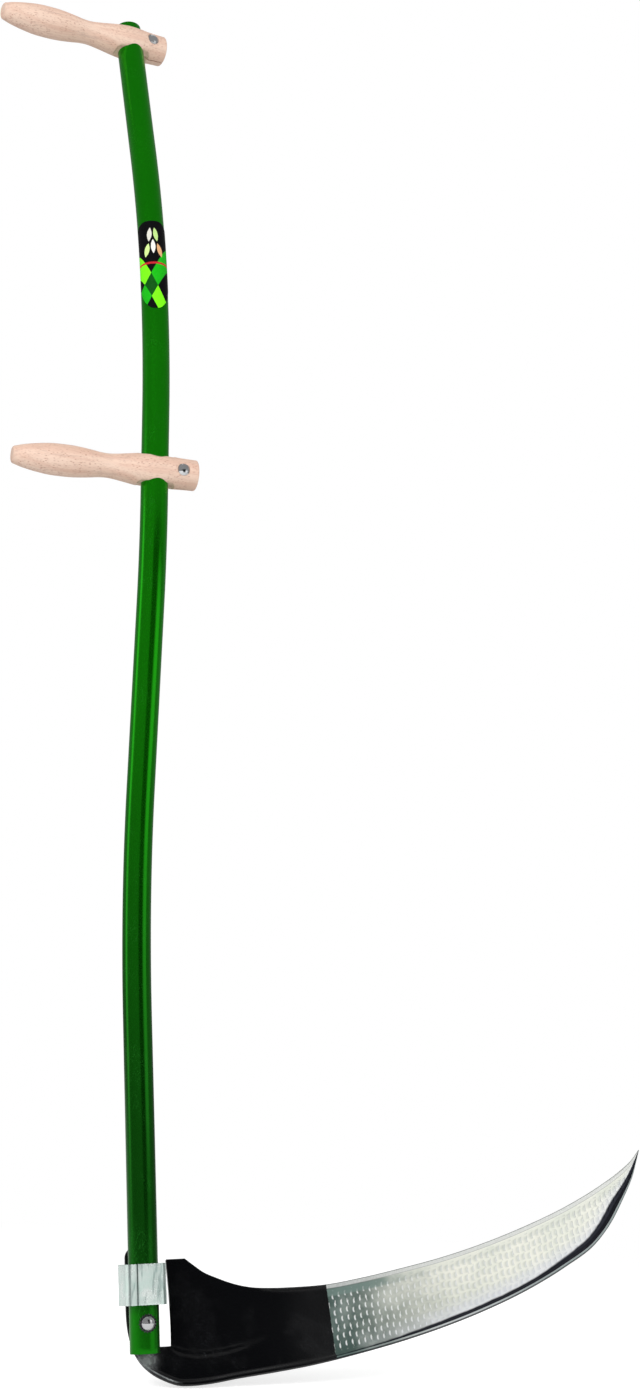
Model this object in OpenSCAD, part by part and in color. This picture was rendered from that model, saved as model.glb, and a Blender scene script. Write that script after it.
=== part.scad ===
// A mowing scythe: a bent steel tube shaft, two wooden handles and a clamped blade.
// The origin is on the shaft's centre line, in the middle of the straight stretch between
// the lower handle and the blade, and +Z runs up that stretch.

/* [Shaft] */
// Outside diameter of the tube
tube_d = 30; // [26:0.5:34]
// Wall of the tube
tube_wall = 1.5; // [1.2:0.1:2.5]
// Direction in which the shaft's bends lie, seen from above
bend_plane = 127.7; // [120:0.1:135]
// Straight stretch at the blade end
foot_run = 336; // [300:1:380]
// Angle between the blade end and the middle stretch
foot_bend = 8; // [4:0.1:10]
// Radius of the bend above the blade end
foot_bend_r = 1700; // [1200:10:2200]
// Straight stretch in the middle, where a wall clip holds the shaft
clip_run = 200; // [150:1:240]
// Angle of the bend below the lower handle
lower_bend = 3.6; // [2:0.1:6]
// Radius of the bend below the lower handle
lower_bend_r = 1830; // [1400:10:2400]
// Straight stretch that carries the lower handle
handle_run = 97; // [80:1:140]
// Angle of the bend between the handles
upper_bend = 12.7; // [8:0.1:16]
// Radius of the bend between the handles
upper_bend_r = 1480; // [1200:10:1800]
// Straight stretch at the top end
top_run = 179; // [150:1:240]

/* [Label] */
// Distance from the start of the upper bend to the label
label_rise = 120; // [60:1:180]
// Length of the label along the shaft
label_length = 108; // [60:1:130]
// Thickness of the label
label_thickness = 0.2; // [0.1:0.05:0.4]
// Gap between the label and the tube
label_gap = 0.3; // [0.2:0.05:0.5]
// Width of the label, seen straight from its front
label_width = 30; // [26:0.5:30]
// Direction in which the label faces
label_turn = -82; // [-120:1:-60]

/* [Handles] */
// Height of the lower handle on its straight stretch
lower_handle_rise = 32.5; // [30:0.5:55]
// Distance from the shaft's top end to the upper handle
upper_handle_drop = 20; // [17:0.5:60]
// Direction in which the lower handle points, seen from above
lower_handle_turn = 201; // [180:1:230]
// Direction in which the upper handle points, seen from above
upper_handle_turn = 210; // [180:1:230]
// Distance from the shaft to the handle's blunt end
handle_reach = 158; // [140:1:185]
// Diameter of the blunt end
handle_end_d = 19; // [16:0.5:24]
// Rounding of the blunt end's rim
handle_end_round = 3; // [1:0.5:5]
// Distance from the shaft to the thickest place of the grip
grip_reach = 105; // [90:1:120]
// Diameter of the grip at its thickest place
grip_d = 34.6; // [30:0.2:38]
// Distance from the shaft to the neck
neck_reach = 53; // [45:1:65]
// Diameter of the neck
neck_d = 26; // [22:0.5:29]
// Diameter of the eye, where the shaft passes
eye_d = 39; // [37:0.5:44]
// Diameter of the handle's short end, beyond the shaft
stub_d = 34.6; // [32:0.2:38]
// Distance from the shaft's middle to the saw-cut end of the lower handle
lower_stub_reach = 46; // [44:1:55]
// The same on the upper handle
upper_stub_reach = 41; // [40:1:50]
// Height between the flats above and below the eye
eye_height = 29.4; // [26:0.2:33]
// Radius with which the flats run out at both ends
flat_run_out_r = 6; // [5:0.5:9]
// Width of the saw cut through the short end
kerf = 1.6; // [1:0.1:3]
// Gap between the handle's bore and the shaft
bore_gap = 0.05; // [0.02:0.01:0.1]

/* [Handle bolts] */
// Diameter of the bolt's shank
handle_bolt_d = 6; // [5:0.5:6]
// Diameter of the domed head
handle_bolt_head_d = 13.6; // [12:0.2:15]
// Height of the domed head
handle_bolt_head_h = 3.6; // [2.5:0.1:4.5]
// Distance from the shaft's centre to the bolt of the lower handle
lower_bolt_reach = 28; // [25:0.5:32]
// Distance from the shaft's centre to the bolt of the upper handle
upper_bolt_reach = 23; // [22:0.5:32]
// Outside diameter of the washer
handle_washer_d = 18; // [14:0.5:18]
// Thickness of the washer
handle_washer_h = 1.6; // [1:0.1:2]
// Width across the flats of the nut
handle_nut_af = 10; // [8:0.5:11]
// Height of the nut
handle_nut_h = 5; // [4:0.5:6]
// Depth of the turned seats for the head and the washer, below the eye's round surface
bolt_seat_depth = 1.4; // [0.8:0.1:2.5]

/* [Blade fixing] */
// Direction in which the blade points, seen from above
blade_turn = 18; // [10:1:30]
// Height of the blade bolt above the shaft's lower end
blade_bolt_rise = 29; // [24:1:36]
// Diameter of the blade bolt's shank
blade_bolt_d = 8; // [6:0.5:8]
// Diameter of its domed head
blade_bolt_head_d = 13.4; // [12.6:0.2:15]
// Height of its domed head
blade_bolt_head_h = 4.2; // [3:0.1:5]
// Outside diameter of the toothed lock washer
lock_washer_d = 18.6; // [17:0.2:21]
// Thickness of the lock washer
lock_washer_h = 1; // [0.8:0.1:1.4]
// Number of teeth on the lock washer
lock_washer_teeth = 18; // [14:1:22]
// Outside diameter of the plain washer behind the tang
blade_washer_d = 19; // [17:0.5:22]
// Thickness of the plain washer
blade_washer_h = 1.6; // [1.2:0.1:2]
// Width across the flats of the blade nut
blade_nut_af = 13; // [12:0.5:14]
// Height of the blade nut
blade_nut_h = 6.5; // [5:0.5:8]

/* [Clamp] */
// Height of the clamp's lower edge above the shaft's lower end
clamp_rise = 46; // [44:1:60]
// Width of the band along the shaft
clamp_height = 40; // [30:1:44]
// Thickness of the band's sheet
clamp_sheet = 2.6; // [2:0.1:3.2]
// Room beside the tang for setting the blade's angle
clamp_side_room = 3.2; // [2.8:0.1:4]
// Room behind the tang inside the band
clamp_back_room = 4; // [3:0.5:6]
// Outer radius of the band's front corners
clamp_front_r = 8; // [5:0.5:10]
// Outer radius of the band's back corners
clamp_back_r = 5; // [4:0.5:8]
// Place of the band's open seam, left of the middle
clamp_seam_offset = 10; // [4:0.5:11]
// Width of the open seam
clamp_seam = 0.6; // [0.3:0.1:1.5]
// Diameter of the two clamping screws
clamp_screw_d = 8; // [6:0.5:8]
// Distance between the two clamping screws
clamp_screw_pitch = 20; // [18:0.5:22]
// Length of the clamping screws under the head
clamp_screw_length = 18; // [16:0.5:24]
// Width across the flats of the screws' heads
clamp_screw_af = 13; // [10:0.5:13]
// Height of the screws' heads
clamp_screw_head_h = 5.5; // [4:0.5:7]
// Width of the square welded nuts
clamp_nut_w = 14; // [12:0.5:16]
// Thickness of the welded nuts
clamp_nut_h = 6; // [5:0.5:8]

/* [Blade] */
// Width of the tang
tang_width = 30; // [26:0.5:30]
// Thickness of the tang
tang_thickness = 4; // [3:0.5:5]
// Height of the tang above the shaft's lower end
tang_height = 102; // [96:1:110]
// Angle at which the blade leans back from the tang
tang_angle = 17; // [10:0.5:22]
// Thickness of the blade's sheet
web_thickness = 1.6; // [1.2:0.1:2.5]
// Thickness of the heel and the beard
heel_thickness = 3; // [2.6:0.1:4]
// Distance from the shaft's middle to the tip, along the blade
tip_reach = 598; // [560:1:620]
// Height of the tip above the shaft's lower end, up the blade
tip_rise = 192; // [180:1:200]
// Radius of the cutting edge
edge_r = 897; // [800:1:1000]
// Radius of the back of the blade
spine_r = 1056; // [950:1:1200]
// Radius of the back near the tip
tip_r = 305; // [270:1:350]
// Length of the rounded stretch at the tip
tip_length = 81; // [70:1:90]
// Height of the rounded stretch at the tip
tip_height = 107.5; // [100:0.5:115]
// Height from the lowest point of the back to the edge where the edge begins
blade_width = 93.4; // [88:0.2:98]
// Distance from the shaft's middle to the place where the edge begins
edge_start_along = 144; // [130:1:155]
// Width of the raised rib along the back
rib_width = 6.5; // [5:0.5:10]
// Height of the raised rib above the sheet
rib_height = 3; // [2:0.5:5]
// Height of the beard's top, up the blade
beard_rise = 93; // [86:0.5:98]
// Length of the beard's top edge
beard_width = 20; // [14:0.5:26]
// Gap between the shaft and the beard
beard_gap = 19; // [16:0.5:24]
// Radius of the hollow between the beard and the cutting edge
beard_hollow_r = 130; // [100:1:200]
// Radius of the heel's outer corner
heel_r = 62; // [58:1:90]
// Distance from the shaft's middle to the lowest point of the heel
heel_along = 50; // [44:1:56]
// Depth of the heel below the shaft's lower end
heel_depth = 35.5; // [32:0.5:38]
// Length of the lacquered heel part, from the shaft
heel_length = 203; // [160:1:240]

/* [Hidden] */

$fn = 72;
// Gap between threads, and between a bolt and the plain holes that it passes
thread_gap = 0.03;
hole_gap = 0.25;
// Gap between pieces that move past each other
slide_gap = 0.4;
// Extra length with which a cut runs past a face
over = 1;
// How far a bend's ends sink into the straight tube, and how much thinner its wall is on each side
bend_sink = 1;
bend_skin = 0.02;
// Points along each curved stretch of the blade's outline
arc_steps = 28;
// Points along each curved stretch of a handle's profile
profile_steps = 12;
// Points along a small rounded corner
corner_steps = 6;
// Facets round a whole turn of a bend, and round the tube
bend_facets = 360;
tube_facets = 72;

tube_r = tube_d / 2;
bore_r = tube_r + bore_gap;
label_start_angle = label_rise / upper_bend_r * 180 / PI;
label_angle = label_length / upper_bend_r * 180 / PI;
label_edge_reach = sqrt(pow(tube_r + label_gap, 2) - pow(label_width / 2, 2));

// Handles
eye_r = eye_d / 2;
stub_r = stub_d / 2;
neck_r = neck_d / 2;
grip_r = grip_d / 2;
handle_end_r = handle_end_d / 2;
eye_half_length = tube_r + 6;
flat_half_length = tube_r + 1;
stub_chamfer = 1;
seat_r = handle_washer_d / 2 + 0.5;
head_seat = stub_r - bolt_seat_depth;
handle_nut_end = head_seat + handle_washer_h + handle_nut_h;
// Step between the rim and the dome of a bolt's head
dome_step = 0.2;
// How far a bolt's end stands out of its nut
bolt_thread_end = 2;

// Blade fixing, measured from the shaft's centre line towards the back
tang_front = tube_r + slide_gap;
tang_back = tang_front + tang_thickness;
tang_middle = tang_front + tang_thickness / 2;
pivot_r = blade_bolt_d / 2 + bore_gap;
blade_washer_face = tang_back + slide_gap;
blade_nut_face = blade_washer_face + blade_washer_h;
// The lock washer is flat and the tube is round, so it stands just off the tube's crown.
lock_washer_face = tube_r + 0.1;
lock_washer_ring_r = lock_washer_d / 2 - 2;
blade_head_face = lock_washer_face + lock_washer_h;

// Clamp band, seen along the shaft
clamp_inner_side = tang_width / 2 + clamp_side_room;
clamp_outer_side = clamp_inner_side + clamp_sheet;
clamp_inner_front = tube_r + slide_gap;
clamp_outer_front = clamp_inner_front + clamp_sheet;
clamp_inner_back = tang_back + clamp_back_room;
clamp_outer_back = clamp_inner_back + clamp_sheet;
clamp_screw_tip = tang_back + slide_gap;
clamp_middle = clamp_rise + clamp_height / 2;

// Blade outline, in the blade's own plane: along it from the shaft's middle, and up it
heel_corner = [heel_along, -heel_depth];
heel_side = [-tang_width / 2 + 8.5, -1];
tang_side = [-tang_width / 2, 42];
tang_foot = heel_side + [1, -0.5];
tip_point = [tip_reach, tip_rise];
spine_join = tip_point - [tip_length, tip_height];
rib_join = spine_join + [-rib_width / 2, rib_width];
rib_end = tip_point + [-2 * rib_width, rib_width];
edge_start = [edge_start_along, blade_width - heel_depth];
beard_left = tube_r + beard_gap;
beard_corner = [beard_left + beard_width, beard_rise];
slot_left = tube_r + 2;
slot_bottom = 5;
slot_r = 4;
heel_top = [heel_side[0] + slot_r / 2, slot_bottom];
tang_corner_r = 10;

// Points along an arc of radius r from p to q, bulging to the right of the way from p to q
function arc_points(p, q, r, steps) =
    let (
        chord = norm(q - p),
        way = (q - p) / chord,
        left = [-way[1], way[0]],
        centre = (p + q) / 2 + left * sqrt(r * r - chord * chord / 4),
        half = asin(chord / 2 / r),
        middle = atan2(-left[1], -left[0])
    )
    [for (i = [0:steps]) centre + r * [
        cos(middle - half + 2 * half * i / steps),
        sin(middle - half + 2 * half * i / steps)
    ]];
function reversed(points) = [for (i = [len(points) - 1:-1:0]) points[i]];
function all_but_first(points) = [for (i = [1:len(points) - 1]) points[i]];

// Children go on along the shaft from where they stand: past a straight stretch or round a bend
// whose centre lies that far along X.
module past_straight(length) {
    translate([0, 0, length]) children();
}

module past_bend(centre, angle) {
    translate([centre, 0, 0])
        rotate([0, angle, 0])
            translate([-centre, 0, 0])
                children();
}

// Children stand on the centre line, with Z up the shaft and X in the plane of its bends.
module at_foot_bend() {
    rotate([0, 0, bend_plane])
        past_straight(-clip_run / 2)
            past_bend(-foot_bend_r, foot_bend)
                children();
}

module at_handle_run() {
    rotate([0, 0, bend_plane])
        past_straight(clip_run / 2)
            past_bend(lower_bend_r, lower_bend)
                children();
}

module at_upper_bend() {
    at_handle_run() past_straight(handle_run) children();
}

module at_top_run() {
    at_upper_bend() past_bend(upper_bend_r, upper_bend) children();
}

module ring(outer_r, inner_r) {
    difference() {
        circle(r = outer_r);
        circle(r = inner_r);
    }
}

// A straight stretch of tube, which goes up from where it stands.
module straight_stretch(length) {
    linear_extrude(height = length) ring(tube_r, tube_r - tube_wall);
}

// A bent sleeve, which goes up from where it stands and leans towards -X.
module bent_sleeve(bend_r, angle, outer_r, inner_r) {
    translate([-bend_r, 0, 0])
        rotate([90, 0, 0])
            rotate_extrude(angle = angle, $fn = bend_facets)
                translate([bend_r, 0])
                    ring(outer_r, inner_r, $fn = tube_facets);
}

// A bent stretch of tube, a hair thinner than the straight ones that its ends sink into.
module bent_stretch(bend_r, angle) {
    sink = bend_sink / bend_r * 180 / PI;
    past_bend(-bend_r, sink)
        bent_sleeve(bend_r, angle + 2 * sink, tube_r - bend_skin, tube_r - tube_wall + bend_skin);
}

module bent_tube() {
    at_foot_bend() {
        past_straight(-foot_run) straight_stretch(foot_run);
        bent_stretch(foot_bend_r, foot_bend);
    }
    rotate([0, 0, bend_plane]) {
        past_straight(-clip_run / 2) straight_stretch(clip_run);
        past_straight(clip_run / 2) mirror([1, 0, 0]) bent_stretch(lower_bend_r, lower_bend);
    }
    at_handle_run() straight_stretch(handle_run);
    at_upper_bend() mirror([1, 0, 0]) bent_stretch(upper_bend_r, upper_bend);
    at_top_run() straight_stretch(top_run);
}

// Children stand at the shaft's lower end, X along the blade and Y to the back.
module at_foot() {
    at_foot_bend()
        past_straight(-foot_run)
            rotate([0, 0, blade_turn - bend_plane])
                children();
}

// Children lie along Y through the shaft at the height of the blade bolt.
module at_blade_bolt() {
    at_foot()
        translate([0, 0, blade_bolt_rise])
            rotate([-90, 0, 0])
                children();
}

module snath_tube() {
    color("forestgreen")
        difference() {
            bent_tube();
            at_blade_bolt()
                cylinder(h = tube_d + 2 * over, r = blade_bolt_d / 2 + hole_gap, center = true);
        }
}

module label() {
    inner_r = tube_r + label_gap;
    color("olivedrab")
        at_upper_bend()
            difference() {
                past_bend(upper_bend_r, label_start_angle)
                    mirror([1, 0, 0])
                        bent_sleeve(upper_bend_r, label_angle, inner_r + label_thickness, inner_r);
                past_bend(upper_bend_r, label_start_angle + label_angle / 2)
                    rotate([0, 0, label_turn - bend_plane])
                        translate([label_edge_reach - tube_d, -tube_d, -label_length])
                            cube([tube_d, 2 * tube_d, 2 * label_length]);
            }
}

// Half the profile of a handle: grip, neck and barrel-shaped eye, as [radius, distance from the shaft].
function grip_radius(t) = handle_end_r + (grip_r - handle_end_r) * (1 - t * t);
function ease(a, b, t) = a + (b - a) * (1 - cos(180 * t)) / 2;
function handle_profile(stub_reach) = concat(
    [[0, -stub_reach], [stub_r - stub_chamfer, -stub_reach], [stub_r, -stub_reach + stub_chamfer]],
    [for (i = [0:profile_steps]) [
        ease(stub_r, eye_r, i / profile_steps),
        -eye_half_length * (1 - i / profile_steps)
    ]],
    [for (i = [1:profile_steps]) [
        ease(eye_r, neck_r, i / profile_steps),
        neck_reach * i / profile_steps
    ]],
    [for (i = [1:profile_steps]) [
        ease(neck_r, grip_r, i / profile_steps),
        neck_reach + (grip_reach - neck_reach) * i / profile_steps
    ]],
    [for (i = [1:profile_steps]) [
        grip_radius(i / profile_steps),
        grip_reach + (handle_reach - handle_end_round - grip_reach) * i / profile_steps
    ]],
    [for (i = [1:corner_steps]) [
        handle_end_r - handle_end_round * (1 - cos(90 * i / corner_steps)),
        handle_reach - handle_end_round * (1 - sin(90 * i / corner_steps))
    ]],
    [[0, handle_reach]]
);

// The space that is milled away above the upper flat of the eye.
module flat_cut() {
    floor_height = eye_height / 2;
    translate([-flat_half_length, -eye_r - over, floor_height])
        cube([2 * flat_half_length, eye_d + 2 * over, eye_r]);
    for (s = [-1, 1])
        translate([s * flat_half_length, 0, floor_height + flat_run_out_r])
            rotate([90, 0, 0])
                cylinder(h = eye_d + 2 * over, r = flat_run_out_r, center = true);
}

// A wooden handle on its own: X along the grip, Z along the shaft, bolt head towards +Y.
module handle_wood(bolt_reach, stub_reach) {
    color("burlywood")
        difference() {
            rotate([0, 90, 0])
                rotate_extrude()
                    polygon(handle_profile(stub_reach));
            flat_cut();
            mirror([0, 0, 1]) flat_cut();
            cylinder(h = eye_d, r = bore_r, center = true);
            translate([-stub_reach - over, -kerf / 2, -eye_r])
                cube([stub_reach + over, kerf, eye_d]);
            translate([-bolt_reach, 0, 0])
                rotate([90, 0, 0])
                    cylinder(h = eye_d + over, r = handle_bolt_d / 2 + hole_gap, center = true);
            translate([-bolt_reach, head_seat, 0])
                rotate([-90, 0, 0])
                    cylinder(h = eye_r, r = handle_bolt_head_d / 2 + hole_gap);
            translate([-bolt_reach, -head_seat, 0])
                rotate([90, 0, 0])
                    cylinder(h = eye_r, r = seat_r);
        }
}

// A low dome on a short rim, with its flat face on the plane z = 0.
module domed_head(d, h) {
    rim = h / 4;
    rise = h - rim;
    dome_r = d / 2 - dome_step;
    sphere_r = (dome_r * dome_r + rise * rise) / (2 * rise);
    cylinder(h = rim, r = d / 2);
    intersection() {
        translate([0, 0, h - sphere_r]) sphere(r = sphere_r);
        cylinder(h = h + over, r = d / 2 - dome_step / 2);
    }
}

// Six sides for a nut or a screw head.
module hexagon(af, h) {
    cylinder(h = h, r = af / 2 / cos(30), $fn = 6);
}

module handle_bolt(bolt_reach) {
    shank = head_seat + handle_nut_end + bolt_thread_end;
    color("silver")
        translate([-bolt_reach, head_seat, 0])
            rotate([-90, 0, 0]) {
                domed_head(handle_bolt_head_d, handle_bolt_head_h);
                translate([0, 0, -shank]) cylinder(h = shank, r = handle_bolt_d / 2);
            }
}

module handle_washer(bolt_reach) {
    color("lightgray")
        translate([-bolt_reach, -head_seat, 0])
            rotate([90, 0, 0])
                difference() {
                    cylinder(h = handle_washer_h, r = handle_washer_d / 2);
                    translate([0, 0, -over])
                        cylinder(h = handle_washer_h + 2 * over, r = handle_bolt_d / 2 + hole_gap);
                }
}

module handle_nut(bolt_reach) {
    color("silver")
        translate([-bolt_reach, -head_seat - handle_washer_h, 0])
            rotate([90, 0, 0])
                difference() {
                    hexagon(handle_nut_af, handle_nut_h);
                    translate([0, 0, -over])
                        cylinder(h = handle_nut_h + 2 * over, r = handle_bolt_d / 2 + thread_gap);
                }
}

// The place of a straight stretch's handle, turned to its direction.
module at_upper_handle() {
    at_top_run()
        past_straight(top_run - upper_handle_drop)
            rotate([0, 0, upper_handle_turn - bend_plane])
                children();
}

module at_lower_handle() {
    at_handle_run()
        past_straight(lower_handle_rise)
            rotate([0, 0, lower_handle_turn - bend_plane])
                children();
}

module upper_handle() {
    at_upper_handle() handle_wood(upper_bolt_reach, upper_stub_reach);
}

module upper_handle_bolt() {
    at_upper_handle() handle_bolt(upper_bolt_reach);
}

module upper_handle_washer() {
    at_upper_handle() handle_washer(upper_bolt_reach);
}

module upper_handle_nut() {
    at_upper_handle() handle_nut(upper_bolt_reach);
}

module lower_handle() {
    at_lower_handle() handle_wood(lower_bolt_reach, lower_stub_reach);
}

module lower_handle_bolt() {
    at_lower_handle() handle_bolt(lower_bolt_reach);
}

module lower_handle_washer() {
    at_lower_handle() handle_washer(lower_bolt_reach);
}

module lower_handle_nut() {
    at_lower_handle() handle_nut(lower_bolt_reach);
}

// A rectangle around the shaft and the tang with round corners, seen along the shaft.
module band_outline(side, front, back, front_r, back_r) {
    polygon([
        [-side + front_r, -front], [side - front_r, -front], [side, -front + front_r],
        [side, back - back_r], [side - back_r, back], [-side + back_r, back],
        [-side, back - back_r], [-side, -front + front_r]
    ]);
    for (s = [-1, 1]) {
        translate([s * (side - front_r), -front + front_r]) circle(r = front_r);
        translate([s * (side - back_r), back - back_r]) circle(r = back_r);
    }
}

// Children stand at both clamping screws, Z along the screw towards the back.
module at_clamp_screws() {
    at_foot()
        for (s = [-1, 1])
            translate([0, 0, clamp_middle + s * clamp_screw_pitch / 2])
                rotate([-90, 0, 0])
                    children();
}

module clamp_band() {
    color("gainsboro")
        difference() {
            at_foot()
                translate([0, 0, clamp_rise])
                    linear_extrude(height = clamp_height)
                        difference() {
                            band_outline(clamp_outer_side, clamp_outer_front, clamp_outer_back,
                                clamp_front_r, clamp_back_r);
                            band_outline(clamp_inner_side, clamp_inner_front, clamp_inner_back,
                                clamp_front_r - clamp_sheet, clamp_back_r - clamp_sheet);
                            translate([-clamp_seam_offset - clamp_seam / 2, -clamp_outer_front - over])
                                square([clamp_seam, clamp_sheet + 2 * over]);
                        }
            at_clamp_screws()
                cylinder(h = clamp_outer_back + over, r = clamp_screw_d / 2 + hole_gap);
        }
}

module clamp_nuts() {
    color("darkgray")
        at_clamp_screws()
            translate([0, 0, clamp_outer_back])
                difference() {
                    translate([-clamp_nut_w / 2, -clamp_nut_w / 2, 0])
                        cube([clamp_nut_w, clamp_nut_w, clamp_nut_h]);
                    translate([0, 0, -over])
                        cylinder(h = clamp_nut_h + 2 * over, r = clamp_screw_d / 2 + thread_gap);
                }
}

module clamp_screws() {
    color("silver")
        at_clamp_screws()
            translate([0, 0, clamp_screw_tip]) {
                cylinder(h = clamp_screw_length, r = clamp_screw_d / 2);
                translate([0, 0, clamp_screw_length]) hexagon(clamp_screw_af, clamp_screw_head_h);
            }
}

// The blade's whole outline below the tang, in its own plane.
function blade_outline() = concat(
    arc_points(heel_side, heel_corner, heel_r, arc_steps),
    all_but_first(arc_points(heel_corner, spine_join, spine_r, arc_steps)),
    all_but_first(arc_points(spine_join, tip_point, tip_r, arc_steps)),
    all_but_first(reversed(arc_points(edge_start, tip_point, edge_r, arc_steps))),
    all_but_first(reversed(arc_points(beard_corner, edge_start, beard_hollow_r, arc_steps))),
    [[beard_left, beard_rise]],
    [for (i = [0:corner_steps]) [
        beard_left - slot_r * (1 - cos(90 * i / corner_steps)),
        slot_bottom + slot_r * (1 - sin(90 * i / corner_steps))
    ]],
    [[slot_left, slot_bottom], heel_top]
);

// Everything on the cutting edge's side of the raised rib.
module inside_rib() {
    polygon(concat(
        arc_points(heel_corner + [0, rib_width], rib_join, spine_r - rib_width, arc_steps),
        all_but_first(arc_points(rib_join, rib_end, tip_r, arc_steps)),
        [[tip_reach, 2 * tip_rise], [-tang_width, 2 * tip_rise]],
        [[-tang_width, rib_width - heel_depth]]
    ));
}

// Children lie in the blade's plane: X along the blade, Y up it and Z towards the front.
module in_blade_plane() {
    at_foot()
        translate([0, tang_middle, 0])
            rotate([90 - tang_angle, 0, 0])
                children();
}

module blade() {
    color("dimgray") {
        in_blade_plane() blade_sheet();
        tang();
    }
}

// The sheet with its rib and its thicker heel, worked out of one plate.
module blade_sheet() {
    translate([0, 0, -web_thickness / 2])
        difference() {
            linear_extrude(height = web_thickness + rib_height)
                polygon(blade_outline());
            translate([0, 0, heel_thickness])
                linear_extrude(height = web_thickness + rib_height)
                    inside_rib();
            translate([0, 0, web_thickness])
                linear_extrude(height = web_thickness + rib_height)
                    intersection() {
                        inside_rib();
                        translate([heel_length, -heel_depth]) square([tip_reach, 3 * tip_rise]);
                    }
        }
}

// The flat tang behind the shaft, seen from behind it.
module tang_outline() {
    half = tang_width / 2;
    shoulder = tang_height - tang_corner_r;
    polygon(concat(
        arc_points(tang_side, tang_foot, 4 * heel_r, arc_steps),
        [[slot_left + slot_r / 2, tang_foot[1]], [half, slot_bottom + slot_r]],
        [[half, shoulder], [-half, shoulder]]
    ));
    for (s = [-1, 1])
        translate([s * (half - tang_corner_r), shoulder]) circle(r = tang_corner_r);
    translate([-half + tang_corner_r, shoulder])
        square([tang_width - 2 * tang_corner_r, tang_corner_r]);
}

// The tang with its hole for the blade bolt.
module tang() {
    at_foot()
        difference() {
            translate([0, tang_back, 0])
                rotate([90, 0, 0])
                    linear_extrude(height = tang_thickness)
                        tang_outline();
            translate([0, 0, blade_bolt_rise])
                rotate([-90, 0, 0])
                    cylinder(h = tang_back + over, r = pivot_r);
        }
}

module blade_bolt() {
    color("silver")
        at_blade_bolt() {
            translate([0, 0, -blade_head_face])
                cylinder(h = blade_head_face + blade_nut_face + blade_nut_h + bolt_thread_end,
                    r = blade_bolt_d / 2);
            translate([0, 0, -blade_head_face])
                rotate([180, 0, 0])
                    domed_head(blade_bolt_head_d, blade_bolt_head_h);
        }
}

module lock_washer() {
    tooth_w = PI * lock_washer_d / lock_washer_teeth / 2;
    color("dimgray")
        at_blade_bolt()
            translate([0, 0, -blade_head_face])
                linear_extrude(height = lock_washer_h)
                    difference() {
                        union() {
                            circle(r = lock_washer_ring_r);
                            for (i = [0:lock_washer_teeth - 1])
                                rotate(i * 360 / lock_washer_teeth)
                                    translate([0, -tooth_w / 2])
                                        square([lock_washer_d / 2, tooth_w]);
                        }
                        circle(r = blade_bolt_d / 2 + hole_gap);
                    }
}

module blade_washer() {
    color("lightgray")
        at_blade_bolt()
            translate([0, 0, blade_washer_face])
                difference() {
                    cylinder(h = blade_washer_h, r = blade_washer_d / 2);
                    translate([0, 0, -over])
                        cylinder(h = blade_washer_h + 2 * over, r = blade_bolt_d / 2 + hole_gap);
                }
}

module blade_nut() {
    color("silver")
        at_blade_bolt()
            translate([0, 0, blade_nut_face])
                difference() {
                    hexagon(blade_nut_af, blade_nut_h);
                    translate([0, 0, -over])
                        cylinder(h = blade_nut_h + 2 * over, r = blade_bolt_d / 2 + thread_gap);
                }
}

snath_tube();
label();
upper_handle();
upper_handle_bolt();
upper_handle_washer();
upper_handle_nut();
lower_handle();
lower_handle_bolt();
lower_handle_washer();
lower_handle_nut();
clamp_band();
clamp_nuts();
clamp_screws();
blade();
blade_bolt();
lock_washer();
blade_washer();
blade_nut();
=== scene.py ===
"""A mowing scythe: its finished surfaces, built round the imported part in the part's own frame."""

import math

import bpy
import numpy as np
from mathutils import Matrix, Vector


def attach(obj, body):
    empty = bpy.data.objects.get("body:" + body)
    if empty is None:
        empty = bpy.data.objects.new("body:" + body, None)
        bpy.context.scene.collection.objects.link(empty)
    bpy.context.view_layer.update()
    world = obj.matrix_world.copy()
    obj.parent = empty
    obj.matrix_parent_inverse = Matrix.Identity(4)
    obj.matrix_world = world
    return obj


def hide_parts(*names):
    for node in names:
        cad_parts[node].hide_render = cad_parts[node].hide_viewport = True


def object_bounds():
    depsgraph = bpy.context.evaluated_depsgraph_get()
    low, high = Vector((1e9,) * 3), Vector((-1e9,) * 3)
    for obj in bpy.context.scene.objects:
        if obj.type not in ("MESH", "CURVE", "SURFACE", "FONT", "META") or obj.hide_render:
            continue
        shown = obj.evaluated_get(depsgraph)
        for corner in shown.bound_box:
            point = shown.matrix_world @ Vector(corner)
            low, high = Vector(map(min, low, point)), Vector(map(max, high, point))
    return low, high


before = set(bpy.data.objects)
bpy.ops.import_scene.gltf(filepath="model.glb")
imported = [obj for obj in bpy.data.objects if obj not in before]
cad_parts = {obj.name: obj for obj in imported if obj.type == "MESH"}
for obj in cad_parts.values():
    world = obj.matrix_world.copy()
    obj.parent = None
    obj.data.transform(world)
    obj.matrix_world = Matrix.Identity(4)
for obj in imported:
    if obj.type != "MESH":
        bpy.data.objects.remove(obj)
cad_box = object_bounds()

MM = 0.001
TAU = 2 * math.pi

# The tube, in millimetres and degrees
TUBE_R = 15.0
TUBE_WALL = 1.5
BEND_PLANE = 127.7
CLIP_RUN = 200.0
FOOT_RUN, FOOT_BEND, FOOT_BEND_R = 336.0, 8.0, 1700.0
LOWER_BEND, LOWER_BEND_R = 3.6, 1830.0
HANDLE_RUN = 97.0
UPPER_BEND, UPPER_BEND_R = 12.7, 1480.0
TOP_RUN = 179.0
# The label
LABEL_RISE = 120.0
LABEL_LENGTH = 108.0
LABEL_WIDTH = 30.0
LABEL_TURN = -82.0
LABEL_TOP_CORNER = (9.0, 8.0)
LABEL_LOW_CORNER = (13.0, 29.0)
# The handles: half the eye's thickness where the bolt sits, the place of each bolt, and the grip's ends
BOLT_SEAT = 15.9
UPPER_REACH, UPPER_STUB = 23.0, 41.0
LOWER_REACH, LOWER_STUB = 28.0, 46.0
GRIP_END = 158.0
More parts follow.
